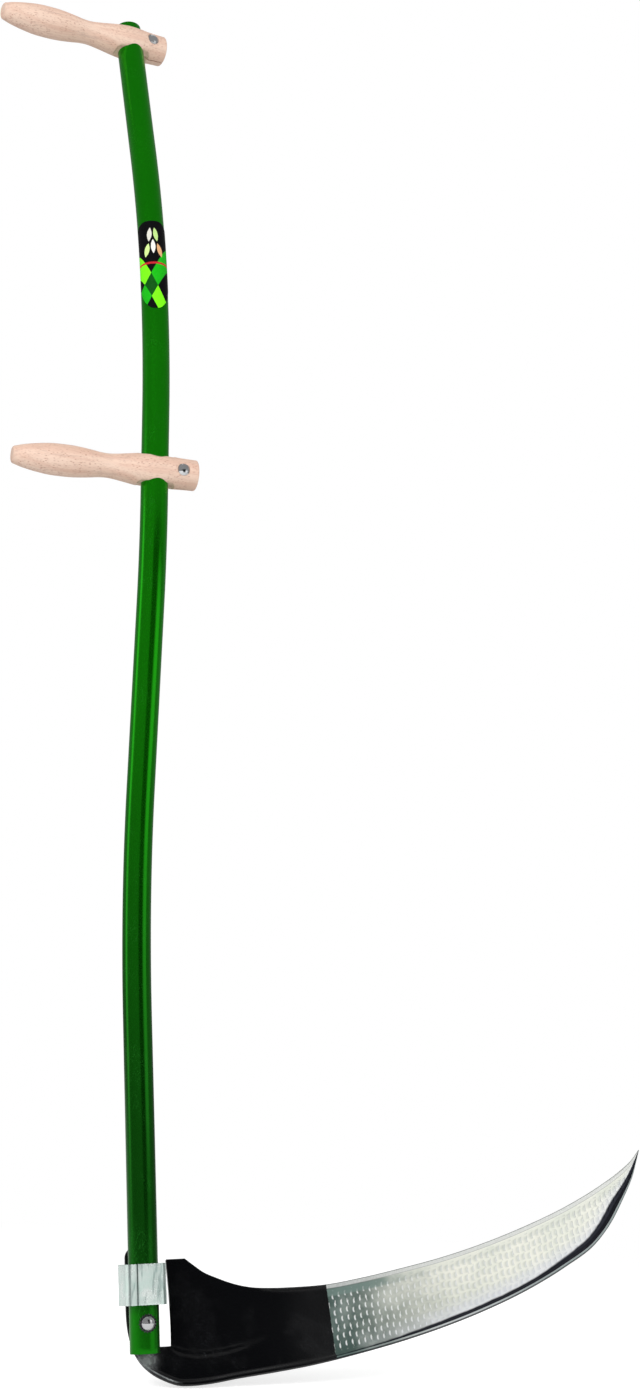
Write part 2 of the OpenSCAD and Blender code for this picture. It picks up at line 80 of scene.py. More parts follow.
# The blade, its toothed washer and the clamp
TEETH = 18
TANG_MIDDLE = 17.4
BLADE_LEAN = 17.0
HEEL_LENGTH = 203.0
CLAMP_RISE = 66.0
# One hammer mark's cell on the blade, along it and across it
MARK_LENGTH, MARK_WIDTH = 7.0, 8.4
# Its figure in shares of the cell: the rise's end, the fall, its curve and where it fades. Rows and columns
# are shifted by a sine with this step and size
MARK_RISE = 0.74
MARK_FALL_START, MARK_FALL_END = 0.76, 0.94
MARK_CURVE = 0.22
MARK_FADE = 0.45
ROW_STEP, ROW_SHIFT = 2.3, 0.16
COLUMN_STEP, COLUMN_SHIFT = 1.9, 0.14
# The angle in degrees from which an edge stays sharp
SHARP = 32.0


# Places

def shift(x, y, z):
    """A 4 by 4 matrix that moves by x, y and z."""
    m = np.eye(4)
    m[:3, 3] = (x, y, z)
    return m


def turn(axis, degrees):
    """A 4 by 4 matrix that turns about a named axis by the right-hand rule."""
    c, s = math.cos(math.radians(degrees)), math.sin(math.radians(degrees))
    m = np.eye(4)
    i, j = {"x": (1, 2), "y": (2, 0), "z": (0, 1)}[axis]
    m[i, i] = m[j, j] = c
    m[i, j], m[j, i] = -s, s
    return m


def past_bend(centre, degrees):
    """The place reached round a bend whose centre lies that far along X: shift, turn about Y, shift back."""
    return shift(centre, 0, 0) @ turn("y", degrees) @ shift(-centre, 0, 0)


MIDDLE = turn("z", BEND_PLANE)
FOOT_TOP = MIDDLE @ shift(0, 0, -CLIP_RUN / 2) @ past_bend(-FOOT_BEND_R, FOOT_BEND)
HANDLE_START = MIDDLE @ shift(0, 0, CLIP_RUN / 2) @ past_bend(LOWER_BEND_R, LOWER_BEND)
UPPER_BEND_START = HANDLE_START @ shift(0, 0, HANDLE_RUN)
TOP_START = UPPER_BEND_START @ past_bend(UPPER_BEND_R, UPPER_BEND)
FOOT = FOOT_TOP @ shift(0, 0, -FOOT_RUN) @ turn("z", 18.0 - BEND_PLANE)
LOWER_HANDLE = HANDLE_START @ shift(0, 0, 32.5) @ turn("z", 201.0 - BEND_PLANE)
UPPER_HANDLE = TOP_START @ shift(0, 0, TOP_RUN - 20.0) @ turn("z", 210.0 - BEND_PLANE)
BLADE_BOLT = FOOT @ shift(0, 0, 29.0) @ turn("x", -90.0)


def placed(points, place):
    """Points in millimetres in a place's own axes, as metres in the part's frame."""
    return (points @ place[:3, :3].T + place[:3, 3]) * MM


# Mesh making

def grid_faces(rows, cols, round_rows=False, round_cols=False):
    """Corner numbers of a grid's four-sided faces, each as (i, j), (i, j+1), (i+1, j+1), (i+1, j),
    wrapping where asked."""
    i = np.arange(rows if round_rows else rows - 1)[:, None]
    j = np.arange(cols if round_cols else cols - 1)[None, :]
    i2, j2 = (i + 1) % rows, (j + 1) % cols
    return np.stack([i * cols + j, i * cols + j2, i2 * cols + j2, i2 * cols + j], axis=-1).reshape(-1, 4)


def signed_volume(points, quads):
    """A closed mesh's volume: the sum over its triangles of a . (b x c) / 6, negative where it is inside
    out."""
    a, b, c, d = (points[quads[:, k]] for k in range(4))
    return float((a * (np.cross(b, c) + np.cross(c, d))).sum()) / 6


def shell(points, place, ring=False):
    """Metre points and outward faces from a grid of millimetre points (rows, columns, 3) in a place's
    axes. A ring's last row joins its first, and any other shell gets both closed by a face."""
    rows, cols = points.shape[:2]
    flat = placed(points.reshape(-1, 3), place)
    quads = grid_faces(rows, cols, ring, True)
    way = -1 if signed_volume(flat, quads) < 0 else 1
    faces = quads[:, ::way].tolist()
    if not ring:
        faces += [list(range(cols))[::-way], list(range((rows - 1) * cols, rows * cols))[::way]]
    return flat, faces


def new_object(name, points, faces):
    """A mesh object from metre points and faces, linked into the scene."""
    mesh = bpy.data.meshes.new(name)
    mesh.from_pydata(points.tolist(), [], faces)
    piece = bpy.data.objects.new(name, mesh)
    bpy.context.scene.collection.objects.link(piece)
    return piece


def smooth(mesh, sharp):
    """Shades a mesh smooth, apart from the edges that bend by more than sharp degrees."""
    mesh.polygons.foreach_set("use_smooth", np.ones(len(mesh.polygons), dtype=bool))
    mesh.set_sharp_from_angle(angle=math.radians(sharp))
    mesh.update()


def make_piece(name, points, faces, body, material, uv=None, marks=None, sharp=SHARP):
    """One piece of the scythe from metre points and faces, with its finish, the body that it moves with,
    and UVs and named values at its points where given."""
    piece = new_object(name, points, faces)
    mesh = piece.data
    mesh.validate()
    if uv is not None:
        corner = np.empty(len(mesh.loops), dtype=np.int32)
        mesh.loops.foreach_get("vertex_index", corner)
        mesh.uv_layers.new(name="UVMap").data.foreach_set("uv", uv[corner].astype(np.float32).ravel())
    for key, values in (marks or {}).items():
        layer = mesh.attributes.new(key, "FLOAT", "POINT")
        layer.data.foreach_set("value", values.astype(np.float32).ravel())
    smooth(mesh, sharp)
    mesh.materials.append(material)
    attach(piece, body)
    return piece


def surface(name, points, place, body, material, ring=False, **more):
    """One piece of the scythe from a grid of millimetre points in a place's axes."""
    return make_piece(name, *shell(points, place, ring), body, material, **more)


def turned(profile, around=64, radius_of=None):
    """A lathe shape: profile points (radius, height) carried round Z. radius_of may change the radius by
    angle."""
    profile = np.asarray(profile, dtype=float)
    angle = np.arange(around) * TAU / around
    r, z = profile[:, :1], profile[:, 1:]
    if radius_of is not None:
        r = radius_of(r, z, angle[None, :])
    r = np.broadcast_to(r, (len(profile), around))
    return np.stack([r * np.cos(angle), r * np.sin(angle), np.broadcast_to(z, r.shape)], axis=-1)


def arc(cx, cy, r, start, end, steps):
    """Points (cx + r cos a, cy + r sin a) with a from start to end in degrees."""
    a = np.radians(np.linspace(start, end, steps))
    return np.stack([cx + r * np.cos(a), cy + r * np.sin(a)], axis=-1)


def smooth_line(points, at, knots=None):
    """Points on a curve through points, at lengths along its chords: on each span a cubic whose end
    slopes are the means of the neighbouring chords' slopes, weighted by the other chord's length."""
    p = np.asarray(points, dtype=float)
    if knots is None:
        knots = chord_lengths(p)
    h = np.diff(knots)
    chord = np.diff(p, axis=0) / h[:, None]
    slope = np.empty_like(p)
    slope[0], slope[-1] = chord[0], chord[-1]
    slope[1:-1] = (chord[:-1] * h[1:, None] + chord[1:] * h[:-1, None]) / (h[1:] + h[:-1])[:, None]
    at = np.clip(at, knots[0], knots[-1])
    k = np.clip(np.searchsorted(knots, at, side="right") - 1, 0, len(h) - 1)
    t = ((at - knots[k]) / h[k])[:, None]
    hk = h[k][:, None]
    return ((2 * t**3 - 3 * t**2 + 1) * p[k] + (t**3 - 2 * t**2 + t) * hk * slope[k]
            + (3 * t**2 - 2 * t**3) * p[k + 1] + (t**3 - t**2) * hk * slope[k + 1])


def chord_lengths(points):
    """The running length along a line of points, from 0."""
    return np.concatenate([[0.0], np.cumsum(np.linalg.norm(np.diff(points, axis=0), axis=1))])


def ease(x):
    """A smooth step: 3 x squared minus 2 x cubed, with x held between 0 and 1."""
    x = np.clip(x, 0.0, 1.0)
    return x * x * (3 - 2 * x)


def drill(r, start, end, place, around=64):
    """A closed cylinder to cut with, along a place's Z from start to end."""
    return new_object("drill", *shell(turned([(r, start), (r, end)], around), place))


def cut(piece, *cutters, sharp=SHARP):
    """Takes closed shapes away from a piece, keeps the result as its mesh and removes the shapes."""
    for cutter in cutters:
        change = piece.modifiers.new("cut", "BOOLEAN")
        change.operation = "DIFFERENCE"
        change.solver = "EXACT"
        change.object = cutter
    graph = bpy.context.evaluated_depsgraph_get()
    graph.update()
    mesh = bpy.data.meshes.new_from_object(piece.evaluated_get(graph), depsgraph=graph)
    piece.modifiers.clear()
    unused = [piece.data] + [cutter.data for cutter in cutters]
    piece.data = mesh
    for cutter in cutters:
        bpy.data.objects.remove(cutter)
    for old in unused:
        bpy.data.meshes.remove(old)
    smooth(mesh, sharp)


# Shader helpers

class Value:
    """An output in a node tree. Its sums, differences, products and quotients put in the maths nodes."""

    def __init__(self, tree, socket):
        self.tree = tree
        self.socket = socket

    def __add__(self, other):
        return maths("ADD", self, other)

    def __sub__(self, other):
        return maths("SUBTRACT", self, other)

    def __rsub__(self, other):
        return maths("SUBTRACT", other, self)

    def __mul__(self, other):
        return maths("MULTIPLY", self, other)

    def __truediv__(self, other):
        return maths("DIVIDE", self, other)


def put(tree, kind, sockets=None, **settings):
    """Adds a node, sets its settings, and gives its sockets their numbers or links. Returns the node."""
    node = tree.nodes.new("ShaderNode" + kind)
    for key, value in settings.items():
        setattr(node, key, value)
    for key, value in (sockets or {}).items():
        if isinstance(value, Value):
            tree.links.new(value.socket, node.inputs[key])
        else:
            node.inputs[key].default_value = value
    return node


def read(tree, kind, sockets=None, output=0, **settings):
    """Adds a node as put does, and returns one of its outputs as a Value."""
    return Value(tree, put(tree, kind, sockets, **settings).outputs[output])


def maths(operation, a, b=0.0):
    """One step of arithmetic on one or two numbers or Values, at least one of them a Value."""
    tree = a.tree if isinstance(a, Value) else b.tree
    return read(tree, "Math", {0: a, 1: b}, operation=operation)


def between(value, low, high, to_low=0.0, to_high=1.0):
    """A smooth change from to_low to to_high as the Value goes from low to high."""
    sockets = {"Value": value, "From Min": low, "From Max": high, "To Min": to_low, "To Max": to_high}
    return read(value.tree, "MapRange", sockets, interpolation_type="SMOOTHSTEP")


def band(value, low, high, soft=0.006):
    """1 where a Value lies between low and high, fading over soft at both borders."""
    return between(value, low - soft, low + soft) * between(value, high - soft, high + soft, 1.0, 0.0)


def mixed(mask, a, b):
    """Number a where the mask is 0 and b where it is 1."""
    return read(mask.tree, "Mix", {0: mask, 2: a, 3: b}, data_type="FLOAT")


def blend(mask, a, b):
    """Colour a where the mask is 0 and b where it is 1."""
    a, b = (colour if isinstance(colour, Value) else (*colour, 1.0) for colour in (a, b))
    return read(mask.tree, "Mix", {0: mask, 6: a, 7: b}, 2, data_type="RGBA")


def painted(colour, *coats):
    """A colour with coats over it in turn, each a mask and a colour."""
    for mask, paint in coats:
        colour = blend(mask, colour, paint)
    return colour


def noise(vector, scale, detail=4.0, roughness=0.5, distortion=0.0):
    """Soft noise around 0.5."""
    return read(vector.tree, "TexNoise", {"Vector": vector, "Scale": scale, "Detail": detail,
                "Roughness": roughness, "Distortion": distortion})


def stretched(vector, scale, rotation=(0.0, 0.0, 0.0)):
    """A vector turned and stretched by a Mapping node."""
    return read(vector.tree, "Mapping", {"Vector": vector, "Scale": scale, "Rotation": rotation})


def parts(vector):
    """A vector's x, y and z."""
    node = put(vector.tree, "SeparateXYZ", {0: vector})
    return [Value(vector.tree, output) for output in node.outputs]


def object_place(tree):
    """Object coordinates, in metres in the part's frame."""
    return read(tree, "TexCoord", output="Object")


def mark_value(tree, name):
    """A named value that the mesh carries at its points."""
    return read(tree, "Attribute", output="Fac", attribute_name=name)


def group(name, inputs, outputs, build):
    """A shader node group with named inputs (name: default) and outputs, filled in by build(inputs)."""
    tree = bpy.data.node_groups.new(name, "ShaderNodeTree")
    for key, default in inputs.items():
        kind = "NodeSocketVector" if isinstance(default, tuple) else "NodeSocketFloat"
        tree.interface.new_socket(key, in_out="INPUT", socket_type=kind).default_value = default
    for key in outputs:
        tree.interface.new_socket(key, in_out="OUTPUT", socket_type="NodeSocketFloat")
    start, end = (tree.nodes.new(kind) for kind in ("NodeGroupInput", "NodeGroupOutput"))
    for key, value in build({key: Value(tree, start.outputs[key]) for key in inputs}).items():
        tree.links.new(value.socket, end.inputs[key])
    return tree


def use(tree, shared, **sockets):
    """Places a shared node group in a material with its own values. Returns its outputs by name."""
    node = put(tree, "Group", sockets, node_tree=shared)
    return {output.name: Value(tree, output) for output in node.outputs}


def build_scuffs(given):
    """Scratches where a stretched noise is near its middle, in patches, and a fine speckle."""
    place = given["Place"]
    lines = noise(stretched(place, (1.0, 6.0, 0.35)), given["Scale"], 5.0, 0.6, 0.6)
    thin = between(maths("ABSOLUTE", lines - 0.5), 0.0, 0.018, 1.0, 0.0)
    patch = between(noise(place, 28.0, 3.0), 0.48, 0.62)
    return {"Scratch": thin * patch, "Patch": patch, "Speckle": noise(place, 900.0, 3.0)}


def build_dimple_rows(given):
    """Hammer marks on the blade in rows and columns: in each cell a slow rise along the blade and a
    short fall, faded out towards the cell's upper and lower side. Along is shifted a little by row,
    Across by column."""
    along, across = given["Along"], given["Across"]
    u = maths("FRACT", along + maths("SINE", maths("FLOOR", across) * ROW_STEP) * ROW_SHIFT)
    v = maths("FRACT", across + maths("SINE", maths("FLOOR", along) * COLUMN_STEP) * COLUMN_SHIFT)
    middle = maths("ABSOLUTE", v * 2.0 - 1.0)
    window = between(middle, MARK_FADE, 1.0, 1.0, 0.0)
    curved = u - middle * middle * MARK_CURVE
    fall = between(curved, MARK_FALL_START, MARK_FALL_END, 1.0, 0.0)
    step = between(curved, 0.0, MARK_RISE) * fall * window
    edge = between(curved, 0.64, 0.76) * between(curved, 0.88, 1.0, 1.0, 0.0) * window
    return {"Height": step, "Edge": edge * between(middle, 0.35, 0.9, 1.0, 0.0)}


scuffs = group("scuffs", {"Place": (0.0, 0.0, 0.0), "Scale": 120.0}, ("Scratch", "Patch", "Speckle"),
               build_scuffs)
dimple_rows = group("dimple_rows", {"Along": 0.0, "Across": 0.0}, ("Height", "Edge"), build_dimple_rows)


def empty_tree(owner):
    """The node tree of a new material or world, without its nodes."""
    owner.use_nodes = True
    owner.node_tree.nodes.clear()
    return owner.node_tree


def new_material(name, slot, **values):
    """A material with one Principled shader whose constant values are set on its own sockets, and its
    tree."""
    material = bpy.data.materials.new(name)
    material["slot"] = slot
    tree = empty_tree(material)
    named = {key.replace("_", " "): value for key, value in values.items()}
    put(tree, "OutputMaterial", {0: read(tree, "BsdfPrincipled", named)})
    return material, tree


def dressed(material, colour, roughness, height, strength, distance, metal=None):
    """The material with its colour and roughness, its normal from a height, and its metal where that
    varies."""
    shader = material.node_tree.nodes["Principled BSDF"]
    sockets = {"Strength": strength, "Distance": distance, "Height": height}
    normal = read(colour.tree, "Bump", sockets)
    wanted = {"Base Color": colour, "Roughness": roughness, "Normal": normal, "Metallic": metal}
    for key, value in wanted.items():
        if value is not None:
            colour.tree.links.new(value.socket, shader.inputs[key])
    return material


# Materials

def green_enamel():
    """Clear green lacquer over bright metal: a deep green that mirrors softly, with painted shade that
    darkens it towards the foot and half lifts again below the clamp, a slight orange peel and thin scuffs."""
    material, tree = new_material("green_enamel", "green_enamel", Metallic=0.88)
    place = object_place(tree)
    scratch = use(tree, scuffs, Place=place, Scale=160.0)["Scratch"]
    cloud = noise(place, 9.0, 3.0)
    height = parts(place)[2]
    # Painted shade: 1 above 0.1 m, falling to 0 at -0.55 m to darken the green towards the foot, and 0.5
    # again below the clamp.
    painted_light_share = maths("MAXIMUM", between(height, -0.55, 0.1), between(height, -0.635, -0.62, 0.5, 0.0))
    upper = blend(cloud, (0.008, 0.33, 0.002), (0.011, 0.37, 0.003))
    body = blend(painted_light_share, (0.006, 0.125, 0.005), upper)
    colour = blend(scratch * 0.3, body, (0.05, 0.42, 0.05))
    rough = between(cloud, 0.3, 0.7, 0.17, 0.23) + scratch * 0.12
    peel = noise(place, 420.0, 2.0)
    return dressed(material, colour, rough, peel + scratch * -0.3, 0.05, 0.0002)


def beech():
    """Turned beech: pale pinkish ground, slow growth bands along the grip, short dark flecks and fine
    pores."""
    material, tree = new_material("beech", "beech", Metallic=0.0, IOR=1.45)
    grain = read(tree, "Attribute", output="Vector", attribute_name="grain")
    bands = noise(stretched(grain, (4.0, 95.0, 95.0)), 1.0, 4.0, 0.6, 1.2)
    short = {"Vector": stretched(grain, (220.0, 560.0, 560.0)), "Scale": 1.0}
    rays = read(tree, "TexVoronoi", short, "Distance", feature="F1")
    flecks = between(rays, 0.12, 0.38, 1.0, 0.0) * between(noise(grain, 42.0, 3.0), 0.38, 0.54)
    pores = between(noise(stretched(grain, (160.0, 1300.0, 1300.0)), 1.0, 3.0), 0.54, 0.68)
    lines = between(noise(stretched(grain, (7.0, 330.0, 330.0)), 1.0, 4.0, 0.6, 0.5), 0.56, 0.72)
    handled = between(noise(grain, 18.0, 3.0), 0.4, 0.7)
    colour = painted(blend(between(bands, 0.36, 0.64), (0.83, 0.62, 0.5), (0.74, 0.5, 0.39)),
                     (flecks * 0.85, (0.5, 0.25, 0.18)),
                     (pores * 0.45, (0.5, 0.3, 0.22)),
                     (lines * 0.55, (0.5, 0.33, 0.27)),
                     (handled * 0.14, (0.66, 0.38, 0.27)))
    rough = between(bands, 0.3, 0.7, 0.5, 0.62)
    return dressed(material, colour, rough, flecks * -0.6 - pores * 0.4, 0.25, 0.0003)


def plated_steel():
    """Bright plating: near mirror, with a faint haze and fine rub marks."""
    material, tree = new_material("plated_steel", "plated_steel", Metallic=1.0)
    marks = use(tree, scuffs, Place=object_place(tree), Scale=300.0)
    colour = blend(marks["Patch"], (0.78, 0.79, 0.8), (0.66, 0.67, 0.69))
    rough = between(marks["Speckle"], 0.35, 0.7, 0.1, 0.22)
    return dressed(material, colour, rough, marks["Scratch"], 0.1, 0.0001)


def spring_steel():
    """The toothed washer's steel: nearly black from its hardening, brighter where it is rubbed."""
    material, tree = new_material("spring_steel", "plated_steel", Metallic=0.9)
    marks = use(tree, scuffs, Place=object_place(tree), Scale=300.0)
    colour = blend(between(marks["Speckle"], 0.5, 0.7), (0.04, 0.04, 0.045), (0.16, 0.165, 0.175))
    rough = between(marks["Patch"], 0.0, 1.0, 0.25, 0.38)
    return dressed(material, colour, rough, marks["Speckle"], 0.2, 0.0002)


def zinc_steel():
    """Zinc-plated sheet: pale, slightly green, clouded, with rolled streaks and dull scuffs, a painted dark
    reflection down the bends of its front corners and a painted shadow at the seam."""
    material, tree = new_material("zinc_steel", "zinc_steel", Metallic=0.5)
    place = object_place(tree)
    scratch = use(tree, scuffs, Place=place, Scale=220.0)["Scratch"]
    cloud = noise(place, 75.0, 4.0, 0.6)
    streak = noise(stretched(place, (260.0, 260.0, 22.0)), 1.0, 3.0)
    broad = noise(stretched(place, (85.0, 85.0, 9.0)), 1.0, 2.0)
    colour = painted(blend(between(cloud, 0.35, 0.65), (0.8, 0.97, 0.9), (0.92, 1.0, 0.96)),
                     (between(streak, 0.52, 0.66) * 0.6, (0.3, 0.4, 0.38)),
                     (scratch * 0.25, (0.3, 0.34, 0.34)),
                     (between(broad, 0.4, 0.6, 0.25, 0.0), (0.36, 0.52, 0.48)),
                     # Painted dark lines: a dark reflection down the front corners' bends and the seam's
                     # shadow, both painted in.
                     (mark_value(tree, "bend") * 0.8, (0.06, 0.09, 0.09)))
    rough = between(cloud, 0.3, 0.7, 0.17, 0.3)
    return dressed(material, colour, rough, streak + cloud * 0.7 + broad * 4.0, 0.45, 0.0003)


def blade_steel():
    """The blade: hammered bright steel with a clear smooth edge, a blued rib, and black lacquer on heel
    and tang. Painted light on it: a dark reflection on the steel near the heel, shade on the hammer marks'
    slopes and highlights on their edges, and a highlight along the heel's black rim, carried with the
    rubbed bare metal."""
    material, tree = new_material("blade_steel", "blade_steel", IOR=1.45)
    place = object_place(tree)
    names = ("along", "edge_gap", "rib_gap", "rub_and_highlight")
    along, edge_gap, rib_gap, rub_and_highlight = (mark_value(tree, name) for name in names)
    wobble = (noise(place, 220.0, 3.0) - 0.5) * 2.2
    lacquer = between(along + wobble, HEEL_LENGTH - 0.4, HEEL_LENGTH + 0.4, 1.0, 0.0)
    marks = use(tree, scuffs, Place=place, Scale=140.0)
    cells = use(tree, dimple_rows, Along=along / MARK_LENGTH, Across=edge_gap / MARK_WIDTH)
    zone = between(edge_gap, 6.5, 8.5) * between(rib_gap, 7.0, 9.5)
    cloud = noise(place, 26.0, 4.0, 0.6)
    patches = between(cloud, 0.36, 0.66)
    far = between(along + (cloud - 0.5) * 100.0, HEEL_LENGTH, HEEL_LENGTH + 150.0)
    far_marks = between(far, 0.1, 0.9)
    # Painted reflection: the steel is painted dark near the heel and bright further out, with far as the
    # share.
    painted_dark_steel = blend(patches, (0.07, 0.115, 0.1), (0.18, 0.24, 0.22))
    far_steel = blend(patches, (0.86, 0.88, 0.78), (0.98, 0.98, 0.88))
    grind = noise(stretched(place, (700.0, 700.0, 160.0)), 1.0, 3.0)
    whetted = blend(grind, (0.55, 0.57, 0.55), (0.92, 0.93, 0.92))
    lines = maths("MAXIMUM", band(edge_gap, -1.0, 0.75, 0.2), band(edge_gap, 4.3, 5.0, 0.3) * 0.5)
    width = between(along, 215.0, 345.0, 4.8, 8.2) + between(along, 400.0, 585.0, 0.0, 5.0)
    inside = width - noise(place, 60.0, 3.0) * 2.2
    blued = between(rib_gap, 2.6, 3.3) * between(rib_gap - inside, -1.0, 1.2, 1.0, 0.0)
    strip = band(rib_gap, 1.0, 2.8, 0.2) * between(along, 300.0, 480.0, 0.35, 0.85)
    rim = between(rib_gap, 1.0, 1.5, 1.0, 0.0)
    steel = painted(blend(far, painted_dark_steel, far_steel),
                    # Painted shade on the hammer marks' slopes further out, and painted highlights on their
                    # edges, strongest near the heel.
                    (cells["Height"] * zone * far_marks * 0.42, (0.42, 0.46, 0.42)),
                    (cells["Edge"] * zone * between(far, 0.0, 1.0, 0.95, 0.6), (0.95, 0.97, 0.96)),
                    (between(rib_gap, 8.0, 26.0, 0.5, 0.0) * far, (0.78, 0.8, 0.92)),
                    (between(edge_gap, 4.4, 5.2, 1.0, 0.0) * 0.8, whetted),
                    (lines * 0.8, (0.16, 0.18, 0.17)),
                    (band(edge_gap, 5.4, 13.0, 0.9) * between(far, 0.0, 0.9, 0.8, 0.12), (0.2, 0.29, 0.26)),
                    (blued * 0.96, (0.008, 0.01, 0.024)),
                    (strip, (0.22, 0.29, 0.28)),
                    (rim * 0.9, (0.02, 0.022, 0.026)))
    worn = between(noise(place, 160.0, 4.0, 0.6), 0.46, 0.6)
    # Bare metal where the lacquer is rubbed through, and a painted highlight along the heel's rim, both
    # carried by the rub value.
    bare_and_highlight = rub_and_highlight * lacquer * (worn * 0.55 + 0.45)
    black = blend(marks["Scratch"], (0.003, 0.0032, 0.0038), (0.012, 0.013, 0.015))
    colour = blend(lacquer, steel, blend(bare_and_highlight, black, (0.7, 0.74, 0.75)))
    clear = (1.0 - lacquer) * (maths("MAXIMUM", blued, rim) * 0.58 + 0.42)
    rough = mixed(lacquer, between(cloud, 0.3, 0.7, 0.3, 0.42), marks["Patch"] * 0.08 + 0.12)
    figure = mixed(far_marks, cells["Edge"], cells["Height"]) * zone * (1.0 - lacquer)
    fine = noise(place, 700.0, 3.0) * 0.12
    metal = maths("MAXIMUM", clear, bare_and_highlight * 0.6)
    return dressed(material, colour, rough, figure + fine, 0.8, 0.0006, metal)


# Leaf shapes on the label: middle across and up as shares of its size, lean in radians and colour
LEAVES = ((0.27, 0.66, 0.35, (0.62, 0.86, 0.3)),
          (0.5, 0.7, 0.0, (0.86, 0.84, 0.78)),
          (0.73, 0.66, -0.35, (0.75, 0.42, 0.2)),
          (0.385, 0.84, 0.2, (0.72, 0.7, 0.62)),
          (0.615, 0.84, -0.2, (0.5, 0.74, 0.25)))


def printed_film():
    """The label's film: a dark ground, crossing lime and green fields below, leaf shapes above and a
    thin red bar between them."""
    material, tree = new_material("printed_film", "printed_film", Specular_IOR_Level=0.06)
    uv = read(tree, "UVMap", uv_map="UVMap")
    across, up, _ = parts(uv)
    tilt = across - 0.5
    lime = band(up + tilt * 0.62, 0.05, 0.32)
    green = band(up - tilt * 0.5, 0.2, 0.46)
    colour = painted(blend(lime, (0.004, 0.004, 0.005), (0.2, 0.95, 0.012)),
                     (green, (0.012, 0.46, 0.01)),
                     (lime * green, (0.004, 0.09, 0.006)),
                     (band(up, 0.5, 0.522), (0.55, 0.02, 0.03)),
                     *((leaf(uv, *shape), paint) for *shape, paint in LEAVES))
    haze = noise(object_place(tree), 240.0, 3.0)
    return dressed(material, colour, between(haze, 0.3, 0.7, 0.22, 0.34), haze, 0.1, 0.0002)


def leaf(uv, across, up, lean):
    """A pointed leaf: 1 where |x| < 0.42 (1 - y squared), in axes stretched along it and turned by lean."""
    moved = read(uv.tree, "VectorMath", {0: uv, 1: (across, up, 0.0)}, operation="SUBTRACT")
    square = stretched(moved, (1.0, 3.6, 1.0))
    x, y, _ = parts(stretched(square, (5.0, 3.4, 1.0), (0.0, 0.0, lean)))
    return between((1.0 - y * y) * 0.42 - maths("ABSOLUTE", x), -0.02, 0.02)


ENAMEL = green_enamel()
BEECH = beech()
PLATED = plated_steel()
SPRING = spring_steel()
ZINC = zinc_steel()
BLADE = blade_steel()
FILM = printed_film()


# The shaft and its label

# The centre line's stretches and bends from its lower end: start, length, and a bend's centre along X
STRETCHES = ((FOOT_TOP @ shift(0, 0, -FOOT_RUN), FOOT_RUN, 0.0),
             (FOOT_TOP, FOOT_BEND_R * math.radians(FOOT_BEND), -FOOT_BEND_R),
             (MIDDLE @ shift(0, 0, -CLIP_RUN / 2), CLIP_RUN, 0.0),
             (MIDDLE @ shift(0, 0, CLIP_RUN / 2), LOWER_BEND_R * math.radians(LOWER_BEND), LOWER_BEND_R),
             (HANDLE_START, HANDLE_RUN, 0.0),
             (UPPER_BEND_START, UPPER_BEND_R * math.radians(UPPER_BEND), UPPER_BEND_R),
             (TOP_START, TOP_RUN, 0.0))
SHAFT_LENGTH = sum(stretch[1] for stretch in STRETCHES)
LABEL_START = SHAFT_LENGTH - TOP_RUN - STRETCHES[5][1] + LABEL_RISE


def centre_line(distance):
    """The place on the tube's centre line at a distance from its lower end, as a matrix."""
    for start, length, centre in STRETCHES:
        if distance <= length or start is TOP_START:
            if centre:
                return start @ past_bend(centre, math.degrees(distance / centre))
            return start @ shift(0, 0, distance)
        distance -= length


def centre_places(distances):
    """The centre line's places at several distances, stacked as one array."""
    return np.array([centre_line(float(d)) for d in distances])


def make_shaft():
    """The tube: outer skin upwards, a rounded rim, the bore downwards and a rounded rim, closed into one
    shell."""
    outer_rows, bore_rows, around = 260, 40, 96
    rim = 0.45
    bore = TUBE_R - TUBE_WALL
    curve = np.radians([30.0, 60.0, 90.0])
    top = SHAFT_LENGTH - rim + rim * np.sin(curve)
    outer_lip = TUBE_R - rim + rim * np.cos(curve)
    inner_lip = bore + rim - rim * np.cos(curve[::-1])
    distance = np.concatenate([np.linspace(rim, SHAFT_LENGTH - rim, outer_rows), top, top[::-1],
                               np.linspace(SHAFT_LENGTH - rim, rim, bore_rows),
                               SHAFT_LENGTH - top, (SHAFT_LENGTH - top)[::-1]])
    radius = np.concatenate([np.full(outer_rows, TUBE_R), outer_lip, inner_lip, np.full(bore_rows, bore),
                             inner_lip[::-1], outer_lip[::-1]])
    angle = np.arange(around) * TAU / around
    places = centre_places(distance)
    side = np.einsum("nij,mj->nmi", places[:, :3, :2], np.stack([np.cos(angle), np.sin(angle)], axis=-1))
    points = places[:, None, :3, 3] + radius[:, None, None] * side
    shaft = surface("shaft", points, np.eye(4), "snath", ENAMEL, ring=True)
    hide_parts("snath_tube")


